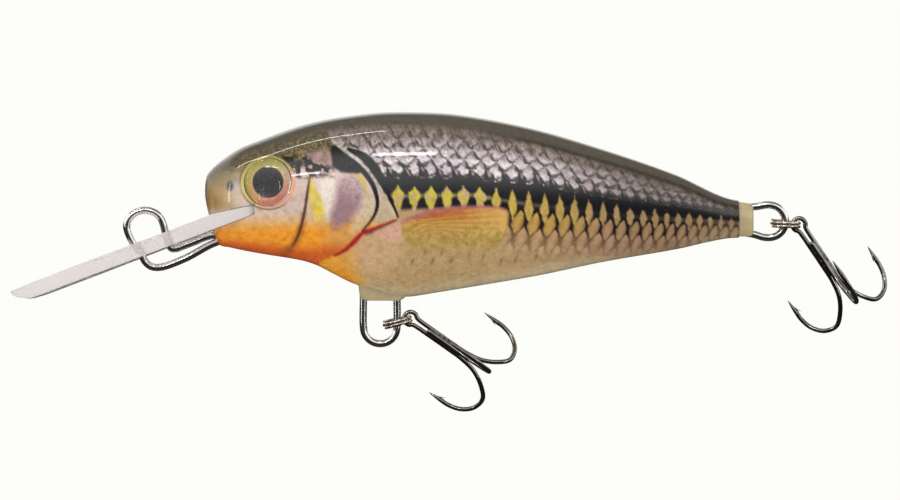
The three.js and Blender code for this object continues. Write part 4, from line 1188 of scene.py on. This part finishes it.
def soft_light(name, direction, wide, tall, power, distance=900.0):
    """A soft panel facing the lure from that direction, its long side lying along the lure."""
    away = np.array(direction, float) / np.linalg.norm(direction)
    data = bpy.data.lights.new(name, "AREA")
    data.shape, data.size, data.size_y, data.energy = "RECTANGLE", wide * MM, tall * MM, power
    lamp = bpy.data.objects.new(name, data)
    bpy.context.scene.collection.objects.link(lamp)
    lamp.location = ((CENTRE + away * distance) * MM).tolist()
    across = np.array([1.0, 0, 0]) - away[0] * away
    across /= np.linalg.norm(across)
    lamp.rotation_euler = Matrix(np.stack([across, np.cross(away, across), away], -1).tolist()).to_euler()


def studio_sky():
    """White to the eye and pale behind clear pieces. It lights plain surfaces evenly, and mirrors see
    a dark room with a bright zone above the level, given by the height of the direction."""
    world = bpy.data.worlds.new("pale_studio")
    bpy.context.scene.world = world
    world.use_nodes = True
    tree = world.node_tree
    tree.nodes.clear()
    new, link = tree.nodes.new, tree.links.new
    place, split = new("ShaderNodeTexCoord"), new("ShaderNodeSeparateXYZ")
    link(place.outputs["Generated"], split.inputs[0])
    height = new("ShaderNodeMapRange")
    height.inputs["From Min"].default_value = -1
    link(split.outputs["Z"], height.inputs["Value"])

    def by_height(stops):
        """A grey that changes with the direction's height, from straight down at 0 to up at 1."""
        ramp = new("ShaderNodeValToRGB")
        while len(ramp.color_ramp.elements) < len(stops):
            ramp.color_ramp.elements.new(0.5)
        for element, (where, level) in zip(ramp.color_ramp.elements, stops):
            element.position = where
            element.color = (level, level, level * 0.985, 1)
        link(height.outputs[0], ramp.inputs[0])
        return ramp.outputs[0]

    plain = by_height(((0.0, 0.84), (0.5, 0.9), (1.0, 1.0)))
    mirror = by_height(((0.0, 0.05), (0.3, 0.02), (0.5, 0.05), (0.55, 0.3), (0.63, 1.3), (0.8, 1.2),
                        (0.87, 0.1), (1.0, 0.4)))
    ray = new("ShaderNodeLightPath")

    def chosen(which, one, two):
        """The second colour for that kind of ray, and the first for any other."""
        mix = new("ShaderNodeMix")
        mix.data_type = "RGBA"
        link(ray.outputs[which], mix.inputs["Factor"])
        for socket, value in ((mix.inputs[6], one), (mix.inputs[7], two)):
            if isinstance(value, tuple):
                socket.default_value = (*value, 1)
            else:
                link(value, socket)
        return mix.outputs[2]

    colour = chosen("Is Diffuse Ray", mirror, plain)
    colour = chosen("Is Transmission Ray", colour, (0.93, 0.9, 0.885))
    colour = chosen("Is Camera Ray", colour, (0.982, 0.982, 0.948))
    back, out = new("ShaderNodeBackground"), new("ShaderNodeOutputWorld")
    link(colour, back.inputs["Color"])
    link(back.outputs[0], out.inputs["Surface"])


studio_floor()
studio_sky()
# Each light's direction from the lure, its width and height in millimetres, and its power in watts.
for light, direction, wide, tall, power in (
        ("front_strip", (0.03, -0.785, 0.616), 120, 50, 0.4),
        ("top_strip", (-0.38, -0.28, 0.88), 700, 16, 0.9),
        ("left_panel", (-0.86, -0.48, 0.16), 50, 420, 0.5),
        ("right_panel", (0.8, -0.58, 0.12), 50, 420, 0.4),
        ("nose_strip", (-0.29, -0.9, 0.342), 260, 30, 0.6)):
    soft_light(light, direction, wide, tall, power)

lens = bpy.data.cameras.new("long_lens")
lens.sensor_width = 36
lens.lens = 202.8
lens.clip_start, lens.clip_end = 0.05, 20
camera = bpy.data.objects.new("long_lens", lens)
bpy.context.scene.collection.objects.link(camera)
camera.location = (CENTRE[0] * MM, -CAMERA_AWAY * MM, CENTRE[2] * MM)
camera.rotation_euler = (np.pi / 2, 0, 0)
bpy.context.scene.camera = camera
bpy.context.scene.view_settings.view_transform = "Standard"
